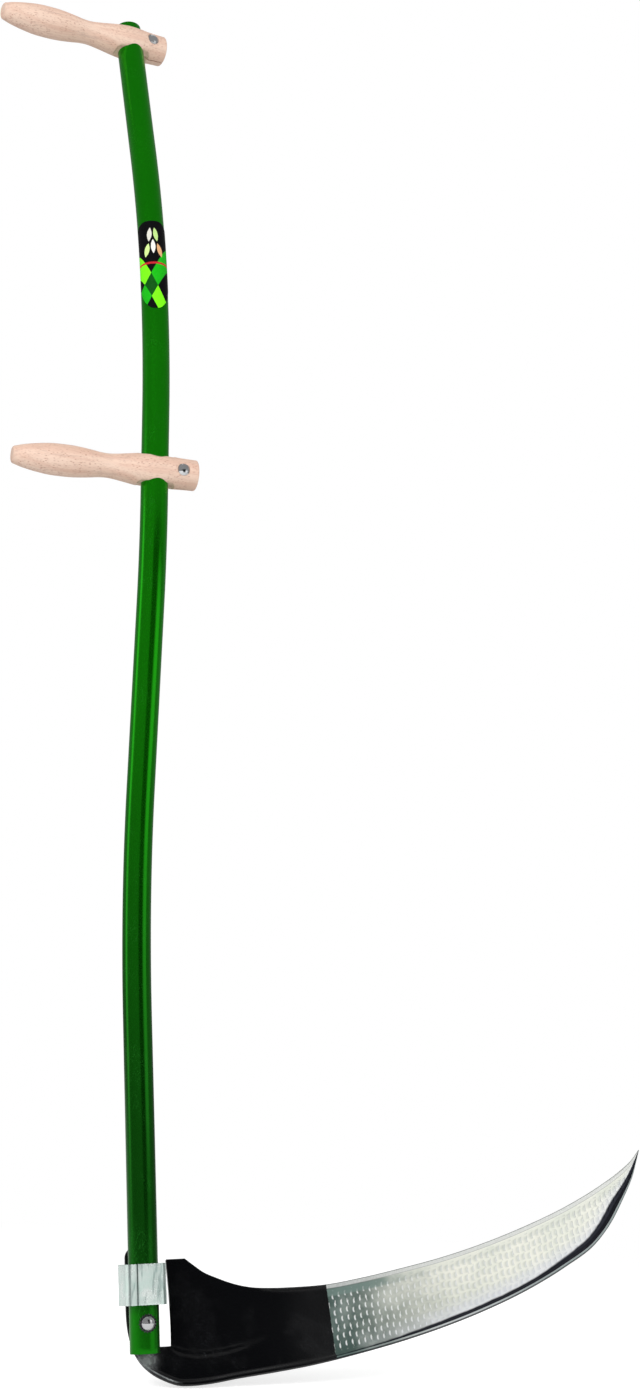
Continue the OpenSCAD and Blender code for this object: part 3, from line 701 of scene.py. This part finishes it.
def make_label():
    """The label: a thin skin on the tube's front. Seen from its front it is a rectangle with oval
    corners, so the half width within a corner is w - c (1 - sqrt(1 - t squared)), where t goes from 0 to
    1 up the corner."""
    rows, cols = 90, 80
    t = np.sin(np.linspace(-math.pi / 2, math.pi / 2, rows))
    height = LABEL_LENGTH / 2 * t
    low = height < 0
    corner_width, corner_height = (np.where(low, a, b) for a, b in zip(LABEL_LOW_CORNER, LABEL_TOP_CORNER))
    into = np.clip((np.abs(height) - LABEL_LENGTH / 2) / corner_height + 1.0, 0.0, 1.0)
    half = LABEL_WIDTH / 2 - corner_width * (1.0 - np.sqrt(1.0 - into**2))
    side = half[:, None] * np.sin(np.linspace(-math.pi / 2, math.pi / 2, cols))[None, :]
    places = centre_places(LABEL_START + LABEL_LENGTH / 2 + height)
    facing = math.radians(LABEL_TURN - BEND_PLANE)
    under, over = TUBE_R + 0.32, TUBE_R + 0.48
    angle = facing + np.arcsin(np.clip(side / under, -1, 1))
    ring = np.stack([np.cos(angle), np.sin(angle)], axis=-1)
    skins = [places[:, None, :3, 3] + np.einsum("nij,nmj->nmi", places[:, :3, :2], ring * radius)
             for radius in (under, over)]
    points = np.concatenate([skins[1], skins[0][:, ::-1]], axis=1)
    across = np.concatenate([side, side[:, ::-1]], axis=1) / LABEL_WIDTH + 0.5
    up = np.broadcast_to((height / LABEL_LENGTH + 0.5)[:, None], across.shape)
    uv = np.stack([across, up], axis=-1).reshape(-1, 2)
    label = surface("label_film", points, np.eye(4), "snath", FILM, uv=uv)
    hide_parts("label")


# The handles

# Distance from the shaft's axis along the grip, and radius there, from the eye to the blunt end
GRIP_PROFILE = ((-30.0, 17.2), (-20.0, 17.7), (-8.0, 18.9), (2.0, 19.4), (12.0, 18.8), (24.0, 17.1),
                (36.5, 15.1), (45.0, 13.9), (53.0, 13.2), (61.5, 13.6), (71.0, 14.9), (80.0, 16.0),
                (91.0, 17.0), (104.0, 17.3), (117.5, 16.9), (129.5, 15.4), (141.5, 13.3), (149.0, 11.6),
                (155.0, 9.7))


def handle_wood(side, place, bolt_reach, stub_reach):
    """A turned handle: its profile's radius carried round the grip's axis, with the height held under
    the eye's milled flats, the ends rounded, and the bore, the saw cut and the bolt's seats cut out."""
    profile = np.concatenate([[(1.2 - stub_reach, 16.9)], np.array(GRIP_PROFILE)])
    body_line = smooth_line(profile, np.linspace(0, chord_lengths(profile)[-1], 190))
    short = arc(1.2 - stub_reach, 15.7, 1.2, 180.0, 95.0, 5)
    blunt = arc(GRIP_END - 3.0, 6.7, 3.0, 85.0, 0.0, 9)
    line = np.concatenate([[[-stub_reach, 0.4], [-stub_reach, 8.0]], short, body_line, blunt,
                           [[GRIP_END, 3.0], [GRIP_END, 0.4]]])
    x, r = line[:, :1], line[:, 1:]
    around = 144
    angle = np.arange(around)[None, :] * TAU / around
    y, z = r * np.cos(angle), r * np.sin(angle)
    flat_height, flat_reach, runout = 14.7, 16.0, 6.0
    past_flat = np.clip(np.abs(x) - flat_reach, 0.0, runout)
    beyond = np.abs(x) >= flat_reach + runout - 0.1
    flat = flat_height + runout - np.sqrt(runout**2 - past_flat**2) + 20.0 * beyond
    z = np.sign(z) * np.minimum(np.abs(z), flat)
    wood_points = np.stack([np.broadcast_to(x, z.shape), y, z], axis=-1)
    wood = surface(side + "_grip_wood", wood_points, place, side + "_grip_set", BEECH)
    saw_cut = ((-60.0, -0.8), (0.0, -0.8), (0.0, 0.8), (-60.0, 0.8))
    sheet = np.array([[(x, y, z) for x, y in saw_cut] for z in (-30.0, 30.0)])
    across = place @ shift(-bolt_reach, 0, 0) @ turn("x", -90.0)
    cut(wood,
        drill(TUBE_R + 0.1, -40.0, 40.0, place, 96),
        new_object("saw cut", *shell(sheet, place)),
        drill(3.25, -30.0, 30.0, across, 48),
        drill(7.05, BOLT_SEAT, 30.0, across),
        drill(9.5, -30.0, -BOLT_SEAT, across))
    store_grain(wood, place)
    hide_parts(side + "_handle")


def store_grain(piece, place):
    """Keeps each point's place along and across the grip, in metres, for the wood's grain."""
    mesh = piece.data
    co = np.empty(len(mesh.vertices) * 3, dtype=np.float32)
    mesh.vertices.foreach_get("co", co)
    own = (co.reshape(-1, 3) - place[:3, 3] * MM) @ place[:3, :3]
    layer = mesh.attributes.new("grain", "FLOAT_VECTOR", "POINT")
    layer.data.foreach_set("vector", own.astype(np.float32).ravel())


# Bolts, nuts and washers

def dome_head(d, h, steps=14):
    """Profile of a low domed head from its middle to the rim's foot: a sphere's cap, a small rim and a
    rounded edge."""
    rim = h / 4
    rise = h - rim
    half = d / 2 - 0.35
    sphere = (half * half + rise * rise) / (2 * rise)
    top = math.degrees(math.asin(half / sphere))
    cap = arc(0.0, h - sphere, sphere, 89.5, 90.0 - top, steps)
    edge = arc(half, rim - 0.3, 0.35, 75.0, 0.0, 5)
    return np.concatenate([cap, edge, [[d / 2, 0.15], [d / 2 - 0.15, 0.0]]])


def thread(r, start, end, pitch=1.0):
    """Profile of a thread's end: crests and roots in turn from start to end, then a chamfer."""
    steps = max(2, int(abs(end - start) / pitch * 2))
    z = np.linspace(start, end, steps)
    depth = np.where(np.arange(steps) % 2, 0.0, 0.35)
    tip = end + math.copysign(0.5, end - start)
    return np.concatenate([np.stack([r - depth, z], axis=-1), [[r - 0.9, tip], [0.2, tip]]])


def make_bolt(node, kind, place, body, r, head_d, head_h, shank, thread_from):
    """A domed bolt with its head's face at height 0, the shank downwards, and its thread shown at the end."""
    profile = np.concatenate([dome_head(head_d, head_h), [[r, 0.0], [r, -thread_from]],
                              thread(r, -thread_from, -shank + 0.5)])
    bolt = surface(node + kind, turned(profile, 72), place, body, PLATED)
    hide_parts(node)


def hexagon_radius(af):
    """Radius by angle of a six-sided nut whose corners are turned off by a cone at both faces."""
    def radius_of(r, z, angle):
        """The hexagon's flat or the cone, whichever is nearer the axis."""
        sector = (angle + TAU / 12) % (TAU / 6) - TAU / 12
        return np.where(r > af / 2 - 0.6, np.minimum(af / 2 / np.cos(sector), np.maximum(r, af / 2)), r)
    return radius_of


def hexagon_side(af, low, high):
    """Profile of a hexagon's outside between two heights, with the cones that round its corners."""
    corner = af / 2 / math.cos(math.pi / 6)
    lift = (corner - af / 2) * 0.55
    return [(af / 2, low + 0.02), (corner, low + lift), (corner, high - lift), (af / 2, high - 0.02),
            (af / 2 - 0.7, high)]


def make_nut(node, kind, place, body, af, h, bore):
    """A hexagon nut from height 0 to h: bore, chamfered mouth, faces and a cone that rounds the corners."""
    profile = [(bore, 0.5), (bore + 0.5, 0.0), (af / 2 - 0.7, 0.0), *hexagon_side(af, 0.0, h),
               (bore + 0.5, h), (bore, h - 0.5)]
    nut = surface(node + kind, turned(profile, 96, hexagon_radius(af)), place, body, PLATED, ring=True,
                  sharp=25.0)
    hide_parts(node)


def make_washer(node, kind, place, body, r, h, bore):
    """A plain washer from height 0 to h, with small rounded edges."""
    e = 0.25
    profile = np.concatenate([arc(r - e, e, e, -90, 0, 4), arc(r - e, h - e, e, 0, 90, 4),
                              [[bore, h - 0.05], [bore, 0.05]]])
    washer = surface(node + kind, turned(profile, 72), place, body, ZINC, ring=True)
    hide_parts(node)


def make_handle_fixing(side, place, bolt_reach):
    """The domed bolt, washer and nut that clamp one handle on the shaft."""
    out = place @ shift(-bolt_reach, BOLT_SEAT, 0) @ turn("x", -90.0)
    back = place @ shift(-bolt_reach, -BOLT_SEAT, 0) @ turn("x", 90.0)
    body, node = side + "_grip_set", side + "_handle"
    make_bolt(node + "_bolt", "_domed", out, body, r=3.0, head_d=13.4, head_h=3.6,
              shank=2 * BOLT_SEAT + 8.6, thread_from=2 * BOLT_SEAT + 1.0)
    make_washer(node + "_washer", "_plate", back, body, r=8.9, h=1.5, bore=3.3)
    make_nut(node + "_nut", "_hex", back @ shift(0, 0, 1.6), body, af=9.9, h=4.9, bore=3.05)


def make_blade_fixing():
    """The blade bolt, its toothed washer in front, and the washer and nut behind the tang."""
    face = TUBE_R + 0.1
    front = BLADE_BOLT @ turn("x", 180.0) @ shift(0, 0, face + 1.0)
    make_bolt("blade_bolt", "_domed", front, "snath", r=4.0, head_d=13.2, head_h=4.2,
              shank=face + 30.8, thread_from=face + 20.0)
    behind = BLADE_BOLT @ shift(0, 0, 19.8)
    make_washer("blade_washer", "_plate", behind, "snath", r=9.4, h=1.5, bore=4.3)
    make_nut("blade_nut", "_hex", behind @ shift(0, 0, 1.6), "snath", af=12.9, h=6.4, bore=4.05)

    def teeth(r, z, angle):
        """The outer radius swings between the ring and the teeth's tips, with steep flanks."""
        wave = np.clip(np.sin(TEETH * angle) * 2.2 + 0.2, -1.0, 1.0)
        return np.where(r > 8.9, 8.15 + 0.55 * (1 + wave), r)

    around = 432
    profile = [(4.3, 0.15), (7.4, 0.1), (9.2, 0.25), (9.2, 0.75), (7.4, 0.95), (4.3, 0.9)]
    points = turned(profile, around, teeth)
    points[2:4, :, 2] += 0.22 * np.cos(TEETH * np.arange(around) * TAU / around)
    place = BLADE_BOLT @ turn("x", 180.0) @ shift(0, 0, face)
    washer = surface("toothed_washer", points, place, "snath", SPRING, ring=True, sharp=28.0)
    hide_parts("lock_washer")


# The clamp

def band_path():
    """The sheet's middle line round the shaft and the tang, from one side of the seam to the other, and
    its outward way at each point."""
    side, front, back, front_r, back_r = 19.5, -16.7, 24.7, 6.7, 3.7
    seam_left, seam_right = -10.3, -9.7
    stops = [arc(side - front_r, front + front_r, front_r, -90.0, 0.0, 12),
             arc(side - back_r, back - back_r, back_r, 0.0, 90.0, 12),
             arc(-side + back_r, back - back_r, back_r, 90.0, 180.0, 12),
             arc(-side + front_r, front + front_r, front_r, 180.0, 270.0, 12),
             np.array([(seam_left, front)])]
    line = np.array([(seam_right, front)])
    for stop in stops:
        gap = stop[0] - line[-1]
        steps = max(3, int(np.linalg.norm(gap) / 0.9))
        line = np.concatenate([line, line[-1] + gap * np.linspace(0, 1, steps)[1:-1, None], stop])
    way = np.gradient(line, axis=0)
    way /= np.linalg.norm(way, axis=1)[:, None]
    return line, np.stack([way[:, 1], -way[:, 0]], axis=-1)


def make_clamp():
    """The band with its nuts and screws: a section with rounded edges carried round the path, with
    shallow waves and two screw holes at the back. The named value for the painted dark lines is 1 at the
    front's two corners, a painted reflection, and at the seam, a painted shadow."""
    line, outward = band_path()
    half_h, half_t, e = 20.0, 1.3, 0.45
    run = np.linspace(-half_h + e, half_h - e, 26)
    half_section = np.concatenate([np.stack([np.full(26, half_t), run], axis=-1),
                                   arc(half_t - e, half_h - e, e, 20, 90, 3),
                                   arc(-half_t + e, half_h - e, e, 90, 160, 3)])
    section = np.concatenate([half_section, -half_section])
    s = chord_lengths(line)[:, None]
    across, up = section[None, :, 0], section[None, :, 1]
    wave = 0.10 * np.sin(s / 6.1 + up / 9.0) + 0.07 * np.sin(s / 2.7 - up / 5.0 + 1.0)
    ragged = 0.16 * np.sin(s * 1.9) * (np.abs(up) > half_h - 0.8)
    from_seam = np.minimum(s, s[-1] - s)
    height = np.sign(up) * (np.abs(up) + ragged - 0.25 - 0.25 * np.exp(-from_seam / 0.6))
    offset = across + np.clip(wave, -0.12, 0.02)
    x = line[:, :1] + outward[:, :1] * offset
    y = line[:, 1:] + outward[:, 1:] * offset
    points = np.stack([x, y, CLAMP_RISE + height], axis=-1)
    # Painted dark lines: a reflection at the front corners and a shadow at the seam's two ends, painted in.
    front_corners = np.exp(-((np.abs(line[:, :1]) - 16.8) / 0.9) ** 2) * (line[:, 1:] < 0)
    bend = np.clip(front_corners + np.exp(-(from_seam / 0.7) ** 2), 0.0, 1.0) * np.ones_like(height)
    sheet = surface("clamp_sheet", points, FOOT, "clamp", ZINC, marks={"bend": bend})
    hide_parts("clamp_band")
    screws = [FOOT @ shift(0, 0, CLAMP_RISE + way * 10.0) @ turn("x", -90.0) for way in (-1, 1)]
    cut(sheet, *[drill(4.25, 22.0, 28.0, place, 48) for place in screws])
    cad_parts["clamp_nuts"].data.materials.clear()
    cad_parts["clamp_nuts"].data.materials.append(ZINC)
    make_screws(screws)


def make_screws(places):
    """The clamp's two screws in one mesh: a thread with a blunt point, and a hexagon head at its outer
    end."""
    af, head, top = 12.9, 18.0, 23.4
    profile = np.concatenate([[(0.2, 0.05), (3.1, 0.05)], thread(4.0, 0.9, 17.0)[:-2], [(4.0, head)],
                              hexagon_side(af, head, top), [(0.2, top)]])
    screw = turned(profile, 96, hexagon_radius(af))
    points, faces = np.empty((0, 3)), []
    for place in places:
        new_points, new_faces = shell(screw, place @ shift(0, 0, 19.8))
        faces += [[k + len(points) for k in face] for face in new_faces]
        points = np.concatenate([points, new_points])
    both = make_piece("clamp_screw_pair", points, faces, "clamp", PLATED, sharp=25.0)
    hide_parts("clamp_screws")


# The blade

# Outer side in the blade's plane: tang's left side, heel, back and tip, as (along, up)
OUTER_SIDE = ((-15.0, 92.0), (-15.0, 76.0), (-15.0, 60.0), (-15.0, 45.0), (-14.6, 32.0), (-13.4, 21.0),
              (-10.6, 9.0), (-6.6, -2.0), (-1.7, -10.6), (5.4, -18.5), (12.7, -24.2), (20.1, -28.4),
              (27.7, -31.9), (36.5, -34.6), (46.0, -35.4), (66.3, -34.9), (96.8, -31.5), (133.1, -28.2),
              (177.8, -23.2), (230.6, -14.4), (276.9, -5.2), (324.6, 6.3), (373.9, 20.7), (424.6, 38.7),
              (478.4, 63.0), (517.4, 84.8), (536.0, 101.0), (564.0, 134.7), (583.0, 162.2),
              (592.0, 180.0), (597.6, 191.6))
# Inner side: the cutting edge from the beard to the tip, each with the place on the outer side that it faces
EDGE_SIDE = (((54.0, 93.0), (56.0, -35.2)), ((62.6, 85.7), (64.0, -35.0)), ((72.4, 78.0), (73.0, -34.3)),
             ((86.6, 71.0), (86.0, -32.9)), ((100.9, 65.1), (100.0, -31.2)),
             ((118.5, 60.3), (118.0, -29.6)), ((144.0, 57.9), (144.5, -27.1)),
             ((167.0, 57.5), (169.0, -24.4)), ((203.0, 58.4), (206.0, -18.9)),
             ((242.5, 63.4), (249.0, -10.9)), ((289.8, 71.5), (301.0, 0.4)),
             ((337.9, 81.0), (353.0, 14.3)), ((387.9, 93.8), (407.0, 32.2)),
             ((439.2, 109.9), (461.0, 54.6)), ((492.7, 129.9), (515.0, 83.2)),
             ((534.4, 149.2), (556.0, 124.2)), ((572.3, 170.6), (584.0, 164.0)),
             ((584.5, 179.2), (592.0, 180.0)), ((597.6, 191.8), (597.6, 191.6)))


def blade_rows():
    """The blade's two sides, row by row from the tang's top to the tip: points on the inner and the
    outer side."""
    outer = np.array(OUTER_SIDE)
    knots = chord_lengths(outer)
    fine = np.linspace(0, knots[-1], 6000)
    curve = smooth_line(outer, fine, knots)

    def facing(point):
        """Length along the outer side at the place nearest to a point."""
        return fine[np.argmin(((curve - np.array(point)) ** 2).sum(axis=1))]

    slot = [(np.linspace((15.0, 92.0), (15.0, 9.0), 52), (-10.6, 9.0)),
            (arc(19.0, 9.0, 4.0, 180.0, 270.0, 8), (-5.0, -5.0)),
            (np.linspace((19.0, 5.0), (30.0, 5.0), 14), (16.0, -26.2)),
            (arc(30.0, 9.0, 4.0, 270.0, 360.0, 8), (24.0, -30.3)),
            (np.linspace((34.0, 9.0), (34.0, 92.0), 46), (36.5, -34.6)),
            (arc(35.0, 92.0, 1.0, 180.0, 90.0, 4), (38.0, -34.9)),
            (np.linspace((35.0, 93.0), (54.0, 93.0), 14), (56.0, -35.2))]
    inner_rows, outer_at = [], []
    start = facing((-15.0, 92.0))
    for points, faced in slot:
        end = facing(faced)
        inner_rows.append(points[:-1])
        outer_at.append(np.linspace(start, end, len(points))[:-1])
        start = end
    edge = np.array([pair[0] for pair in EDGE_SIDE])
    edge_knots = chord_lengths(edge)
    at = np.linspace(0, edge_knots[-1], 420)
    inner_rows.append(smooth_line(edge, at, edge_knots))
    outer_at.append(np.interp(at, edge_knots, [facing(pair[1]) for pair in EDGE_SIDE]))
    corner = np.radians(np.linspace(90.0, 6.0, 9))
    top_inner = np.stack([5.0 + 10.0 * np.cos(corner), 92.0 + 10.0 * np.sin(corner)], axis=-1)
    top_outer = top_inner * (-1.0, 1.0)
    inner = np.concatenate([top_inner] + inner_rows)
    outer_side = np.concatenate([top_outer, smooth_line(outer, np.concatenate(outer_at), knots)])
    return inner, outer_side


def tang_share(along):
    """How far a place belongs to the upright tang: 1 left of x = 15, falling to 0 at x = 32."""
    return 1.0 - ease((along - 15.0) / 17.0)


def blade_space(along, up, forward):
    """From the blade's sheet to the foot's axes. The sheet leans back by the lean angle; above the bend
    line the tang stands upright: n is the height with its positive part taken away softly, and the place
    is (along, middle + n sin(lean), up - n (1 - cos(lean))), pushed along the sheet's normal by
    forward."""
    lean = math.radians(BLADE_LEAN)
    soft = 3.0
    share = tang_share(along)
    below = -soft * np.logaddexp(0.0, -up / soft)
    slope_below = 1.0 / (1.0 + np.exp(up / soft))
    n = share * below + (1.0 - share) * up
    slope = share * slope_below + (1.0 - share)
    angle = lean * slope
    y = TANG_MIDDLE + math.sin(lean) * n - np.cos(angle) * forward
    z = up - (1.0 - math.cos(lean)) * n + np.sin(angle) * forward
    return np.stack([along, y, z], axis=-1)


def dimple_height(along, across):
    """Height of the hammer marks, 0 to 1, by the same figure as the finish's."""
    u = along / MARK_LENGTH
    v = across / MARK_WIDTH
    shift_u = ROW_SHIFT * np.sin(ROW_STEP * np.floor(v))
    shift_v = COLUMN_SHIFT * np.sin(COLUMN_STEP * np.floor(u))
    u, v = (u + shift_u) % 1.0, (v + shift_v) % 1.0
    middle = np.abs(2 * v - 1)
    window = 1.0 - ease((middle - MARK_FADE) / (1.0 - MARK_FADE))
    curved = u - MARK_CURVE * middle**2
    fall = 1.0 - ease((curved - MARK_FALL_START) / (MARK_FALL_END - MARK_FALL_START))
    return ease(curved / MARK_RISE) * fall * window


def make_blade():
    """The blade: ruled rows between its two sides, with thickness, rib, heel, folds and hammer marks as
    heights over the sheet's middle, front and back joined at the edges into one shell."""
    inner, outer = blade_rows()
    width = np.linalg.norm(inner - outer, axis=1)[:, None]
    small = np.minimum(1.0, width / 34.0)
    rib_cols = np.array([0.0, 0.35, 0.9, 1.6, 2.4, 3.2, 4.0, 4.8, 5.6, 6.5, 7.6, 9.0])
    edge_cols = np.array([6.0, 4.2, 2.8, 1.8, 1.0, 0.5, 0.0])
    rib_at = rib_cols[None, :] * small
    edge_at = width - edge_cols[None, :] * small
    mid = np.linspace(0, 1, 44)[None, 1:-1]
    mid_at = rib_at[:, -1:] + (edge_at[:, :1] - rib_at[:, -1:]) * mid
    d = np.concatenate([rib_at, mid_at, edge_at], axis=1)
    e = width - d
    share = (d / np.maximum(width, 1e-6))[..., None]
    flat = outer[:, None, :] * (1 - share) + inner[:, None, :] * share
    along, up = flat[..., 0], flat[..., 1]
    on_blade = 1.0 - tang_share(along) * ease((up + 8.0) / 10.0)
    heel = 1.0 - ease((along - 150.0) / 55.0)
    half = 0.8 + 0.7 * heel + 0.5 * (1.0 - on_blade)
    cutting = on_blade * ease((along - 120.0) / 40.0)
    thin = 1.0 - cutting * (1.0 - ease(e / (5.0 * small))) * 0.88
    edge_round = np.sqrt(np.clip(1 - (1 - np.clip(e / 0.8, 0, 1)) ** 2, 0, 1))
    rim_round = np.sqrt(np.clip(1 - (1 - np.clip(d / (0.9 * small), 0, 1)) ** 2, 0, 1))
    rib_side = 1.0 - ease((d / small - 2.6) / 4.4)
    rib = on_blade * ease((along + 4.0) / 20.0) * rib_side * 2.6 * (0.35 + 0.65 * small)
    zone = ease((e - 6.5) / 2.0) * ease((d - 6.5) / 2.5)
    marks = 0.14 * zone * dimple_height(along, e) * ease((along - HEEL_LENGTH) / 110.0)
    fold = fold_height(along, up) * on_blade * heel
    hollow = -0.9 * on_blade * np.sin(np.pi * np.clip(d / width, 0, 1)) * ease((along - 60.0) / 120.0)
    belly = hollow * small
    sheet = half * thin * edge_round * rim_round
    front = sheet + (rib + fold) * rim_round - marks + belly
    back = -sheet + fold * rim_round * 0.8 - 0.4 * marks + belly
    points = np.concatenate([blade_space(along, up, front), blade_space(along, up, back)[:, ::-1]], axis=1)
    heel_rub = np.exp(-(((along - 4.0) / 8.0) ** 2 + ((up + 8.0) / 7.0) ** 2))
    # A painted highlight along the heel's rim, added to the rub value with the real rubbing at the heel and
    # edge.
    rim_highlight = np.exp(-((d - 2.2) / 0.55) ** 2) * (1.0 - ease((along - 24.0) / 16.0)) * (up < 4.0) * 0.9
    edge_rub = np.exp(-(e / 0.6) ** 2) * 0.25
    rub_and_highlight = np.clip(heel_rub * 1.1 + rim_highlight + edge_rub, 0, 1)
    front_marks = {"along": along, "edge_gap": e, "rib_gap": d / small, "rub_and_highlight": rub_and_highlight}
    marks_on = {key: np.concatenate([a, a[:, ::-1]], axis=1) for key, a in front_marks.items()}
    blade = surface("blade_forging", points, FOOT, "blade", BLADE, marks=marks_on)
    cut(blade, drill(4.05, 10.0, 24.0, BLADE_BOLT), sharp=50.0)
    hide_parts("blade")


def fold_height(along, up):
    """A soft fold in the heel, from the slot's right corner along a sagging line that rises and fades towards
    x = 135: a low ridge on the line and a slight step under it."""
    line = -4.6 + 0.0026 * (along - 60.0) ** 2 * np.where(along > 60.0, 1.0, 3.6)
    gap = up - line
    fade = ease((along - 24.0) / 14.0) * (1.0 - ease((along - 95.0) / 40.0))
    return fade * (1.3 * np.exp(-(gap / 2.6) ** 2) - 0.5 * ease(-gap / 8.0))


# Making it all

make_shaft()
make_label()
handle_wood("upper", UPPER_HANDLE, UPPER_REACH, UPPER_STUB)
handle_wood("lower", LOWER_HANDLE, LOWER_REACH, LOWER_STUB)
make_handle_fixing("upper", UPPER_HANDLE, UPPER_REACH)
make_handle_fixing("lower", LOWER_HANDLE, LOWER_REACH)
make_blade_fixing()
make_clamp()
make_blade()


# Camera, light and floor

PHOTO_HEIGHT = 1389.0
FOCAL_LENGTH = 2000.0
SENSOR = 36.0
EYE = (0.1864, -2.092, -0.445)
EYE_TILT = 102.0
SHAFT_HANG = -3.6
ROOM_R = 6.0
WHITE = (1.0, 1.0, 1.0, 1.0)


def make_camera():
    """The photograph's view: low in front, looking up by 12 degrees, with the shaft turned in its bend
    plane. The focal length is in the photograph's own pixels."""
    plane = math.radians(BEND_PLANE)
    data = bpy.data.cameras.new("camera")
    data.sensor_fit = "VERTICAL"
    data.sensor_height = SENSOR
    data.lens = SENSOR * FOCAL_LENGTH / PHOTO_HEIGHT
    data.clip_end = 200.0
    camera = bpy.data.objects.new("camera", data)
    bpy.context.scene.collection.objects.link(camera)
    hang = Matrix.Rotation(math.radians(SHAFT_HANG), 4, (math.sin(plane), -math.cos(plane), 0.0))
    tilt = Matrix.Rotation(math.radians(EYE_TILT), 4, "X")
    camera.matrix_world = hang @ Matrix.Translation(EYE) @ tilt
    bpy.context.scene.camera = camera


def area_light(name, place, aim, size, power):
    """A rectangular lamp at a place, facing its aim. The room's bright fields stand for it in reflections."""
    data = bpy.data.lights.new(name, "AREA")
    data.shape = "RECTANGLE"
    data.size, data.size_y = size
    data.energy = power
    lamp = bpy.data.objects.new(name, data)
    bpy.context.scene.collection.objects.link(lamp)
    way = (Vector(aim) - Vector(place)).normalized()
    lamp.matrix_world = Matrix.Translation(place) @ way.to_track_quat("-Z", "Y").to_matrix().to_4x4()
    lamp.visible_glossy = False


def seen_by(tree, *kinds):
    """1 for rays of the named kinds and 0 for all others."""
    path = put(tree, "LightPath").outputs
    seen = 0.0
    for kind in kinds:
        seen = maths("MAXIMUM", Value(tree, path[f"Is {kind} Ray"]), seen)
    return seen


def glow(tree, strength):
    """A white emission of a given strength."""
    return read(tree, "Emission", {"Color": WHITE, "Strength": strength})


def make_world():
    """White towards the camera and in reflections, plain soft light everywhere else."""
    world = bpy.data.worlds.new("studio")
    tree = empty_tree(world)
    soft, white = (read(tree, "Background", {"Color": WHITE, "Strength": level})
                   for level in (0.62, 1.0))
    seen = seen_by(tree, "Camera", "Glossy", "Transmission")
    mix = read(tree, "MixShader", {0: seen, 1: soft, 2: white})
    put(tree, "OutputWorld", {0: mix})
    bpy.context.scene.world = world


def stage_tree(piece, name):
    """Gives a stage piece a new material, and returns that material's empty tree."""
    material = bpy.data.materials.new(name)
    piece.data.materials.append(material)
    return empty_tree(material)


def make_floor(height):
    """A pale floor just under the blade's heel. Towards the camera it adds a little light, and farther
    out it turns plain white, so that only the object's shadow shows on it."""
    corners = ((-30.0, -30.0), (30.0, -30.0), (30.0, 30.0), (-30.0, 30.0))
    floor = new_object("floor", np.array([(x, y, height) for x, y in corners]), [(0, 1, 2, 3)])
    tree = stage_tree(floor, "floor_paint")
    seen = seen_by(tree, "Camera", "Transmission")
    place = object_place(tree)
    paint = blend(noise(place, 6.0, 2.0), (0.8, 0.8, 0.8), (0.83, 0.83, 0.83))
    near = read(tree, "BsdfPrincipled",
                {"Base Color": paint, "Roughness": 0.9, "Specular IOR Level": 0.0, "Emission Color": WHITE,
                 "Emission Strength": seen * 0.55})
    far = between(read(tree, "VectorMath", {0: place}, "Value", operation="LENGTH"), 0.9, 1.6)
    mix = read(tree, "MixShader", {0: seen * far, 1: near, 2: glow(tree, 1.0)})
    put(tree, "OutputMaterial", {0: mix})


def light_screen(screen, tree, strength):
    """Lights a screen, and keeps it out of the camera's sight, off the floor and out of the lamps' way."""
    put(tree, "OutputMaterial", {0: glow(tree, strength)})
    screen.visible_camera = False
    screen.visible_diffuse = False
    screen.visible_shadow = False
    screen.visible_transmission = False


def make_room():
    """A curved screen round the object that only reflections see: dark low down and lighter above, with
    two tall bright windows at the sides for the shaft's streaks."""
    rows, cols = 35, 87
    az = np.radians(np.linspace(-172.0, 172.0, cols))[None, :]
    el = np.radians(np.linspace(-14.0, 88.0, rows))[:, None]
    ways = [np.cos(el) * np.sin(az), -np.cos(el) * np.cos(az), np.sin(el) * np.ones_like(az)]
    points = ROOM_R * np.stack(ways, axis=-1).reshape(-1, 3)
    room = new_object("room", points, grid_faces(rows, cols).tolist())
    tree = stage_tree(room, "room_light")
    x, y, z = parts(object_place(tree))
    azimuth = maths("DEGREES", maths("ARCTAN2", x, y * -1.0))
    height = maths("DEGREES", maths("ARCSINE", z / ROOM_R))
    low = between(height, 16.0, 21.0, 1.0, 0.0)
    right = band(azimuth, 50.0, 86.0, 6.0) * low * 0.45
    left = band(azimuth, -94.0, -76.0, 5.0) * low * 1.05
    light_screen(room, tree, between(height, -14.0, 8.0, 0.06, 0.28) + right + left)


def make_card():
    """A card that the blade mirrors, 0.9 m from it where the camera's rays go on: points c + u e1 + v
    e2, with u from -0.95 to 0.5 m and v from -0.5 to 0.5 m. It is white where the web mirrors it and
    black for the heel."""
    centre = np.array([1.0, -0.34, 0.02])
    aside = np.array([1.0, 1.0, 0.0]) / math.sqrt(2.0)
    upward = -np.cross([0.56, -0.56, 0.61], aside)
    points = (centre + np.linspace(-0.95, 0.5, 3)[:, None, None] * aside
              + np.linspace(-0.5, 0.5, 3)[None, :, None] * upward)
    card = new_object("card", points.reshape(-1, 3), grid_faces(3, 3).tolist())
    tree = stage_tree(card, "card_light")
    place = object_place(tree)
    moved = read(tree, "VectorMath", {0: place, 1: tuple(centre)}, operation="SUBTRACT")
    u, v = (read(tree, "VectorMath", {0: moved, 1: tuple(way)}, "Value", operation="DOT_PRODUCT")
            for way in (aside, upward))
    inside = between(u, -0.42, -0.16) * between(u, 0.3, 0.5, 1.0, 0.0) * band(v, -0.4, 0.4, 0.1)
    light_screen(card, tree, inside * 0.95)


make_camera()
make_world()
make_floor(float(cad_box[0][2]) - 0.002)
make_room()
make_card()
area_light("key", (-0.9, -3.0, 1.9), (0.0, 0.0, 0.0), (2.4, 1.8), 66.0)
area_light("fill", (1.6, -2.8, 0.0), (0.1, 0.0, -0.2), (1.4, 2.4), 23.0)

bpy.context.scene.view_settings.view_transform = "Standard"
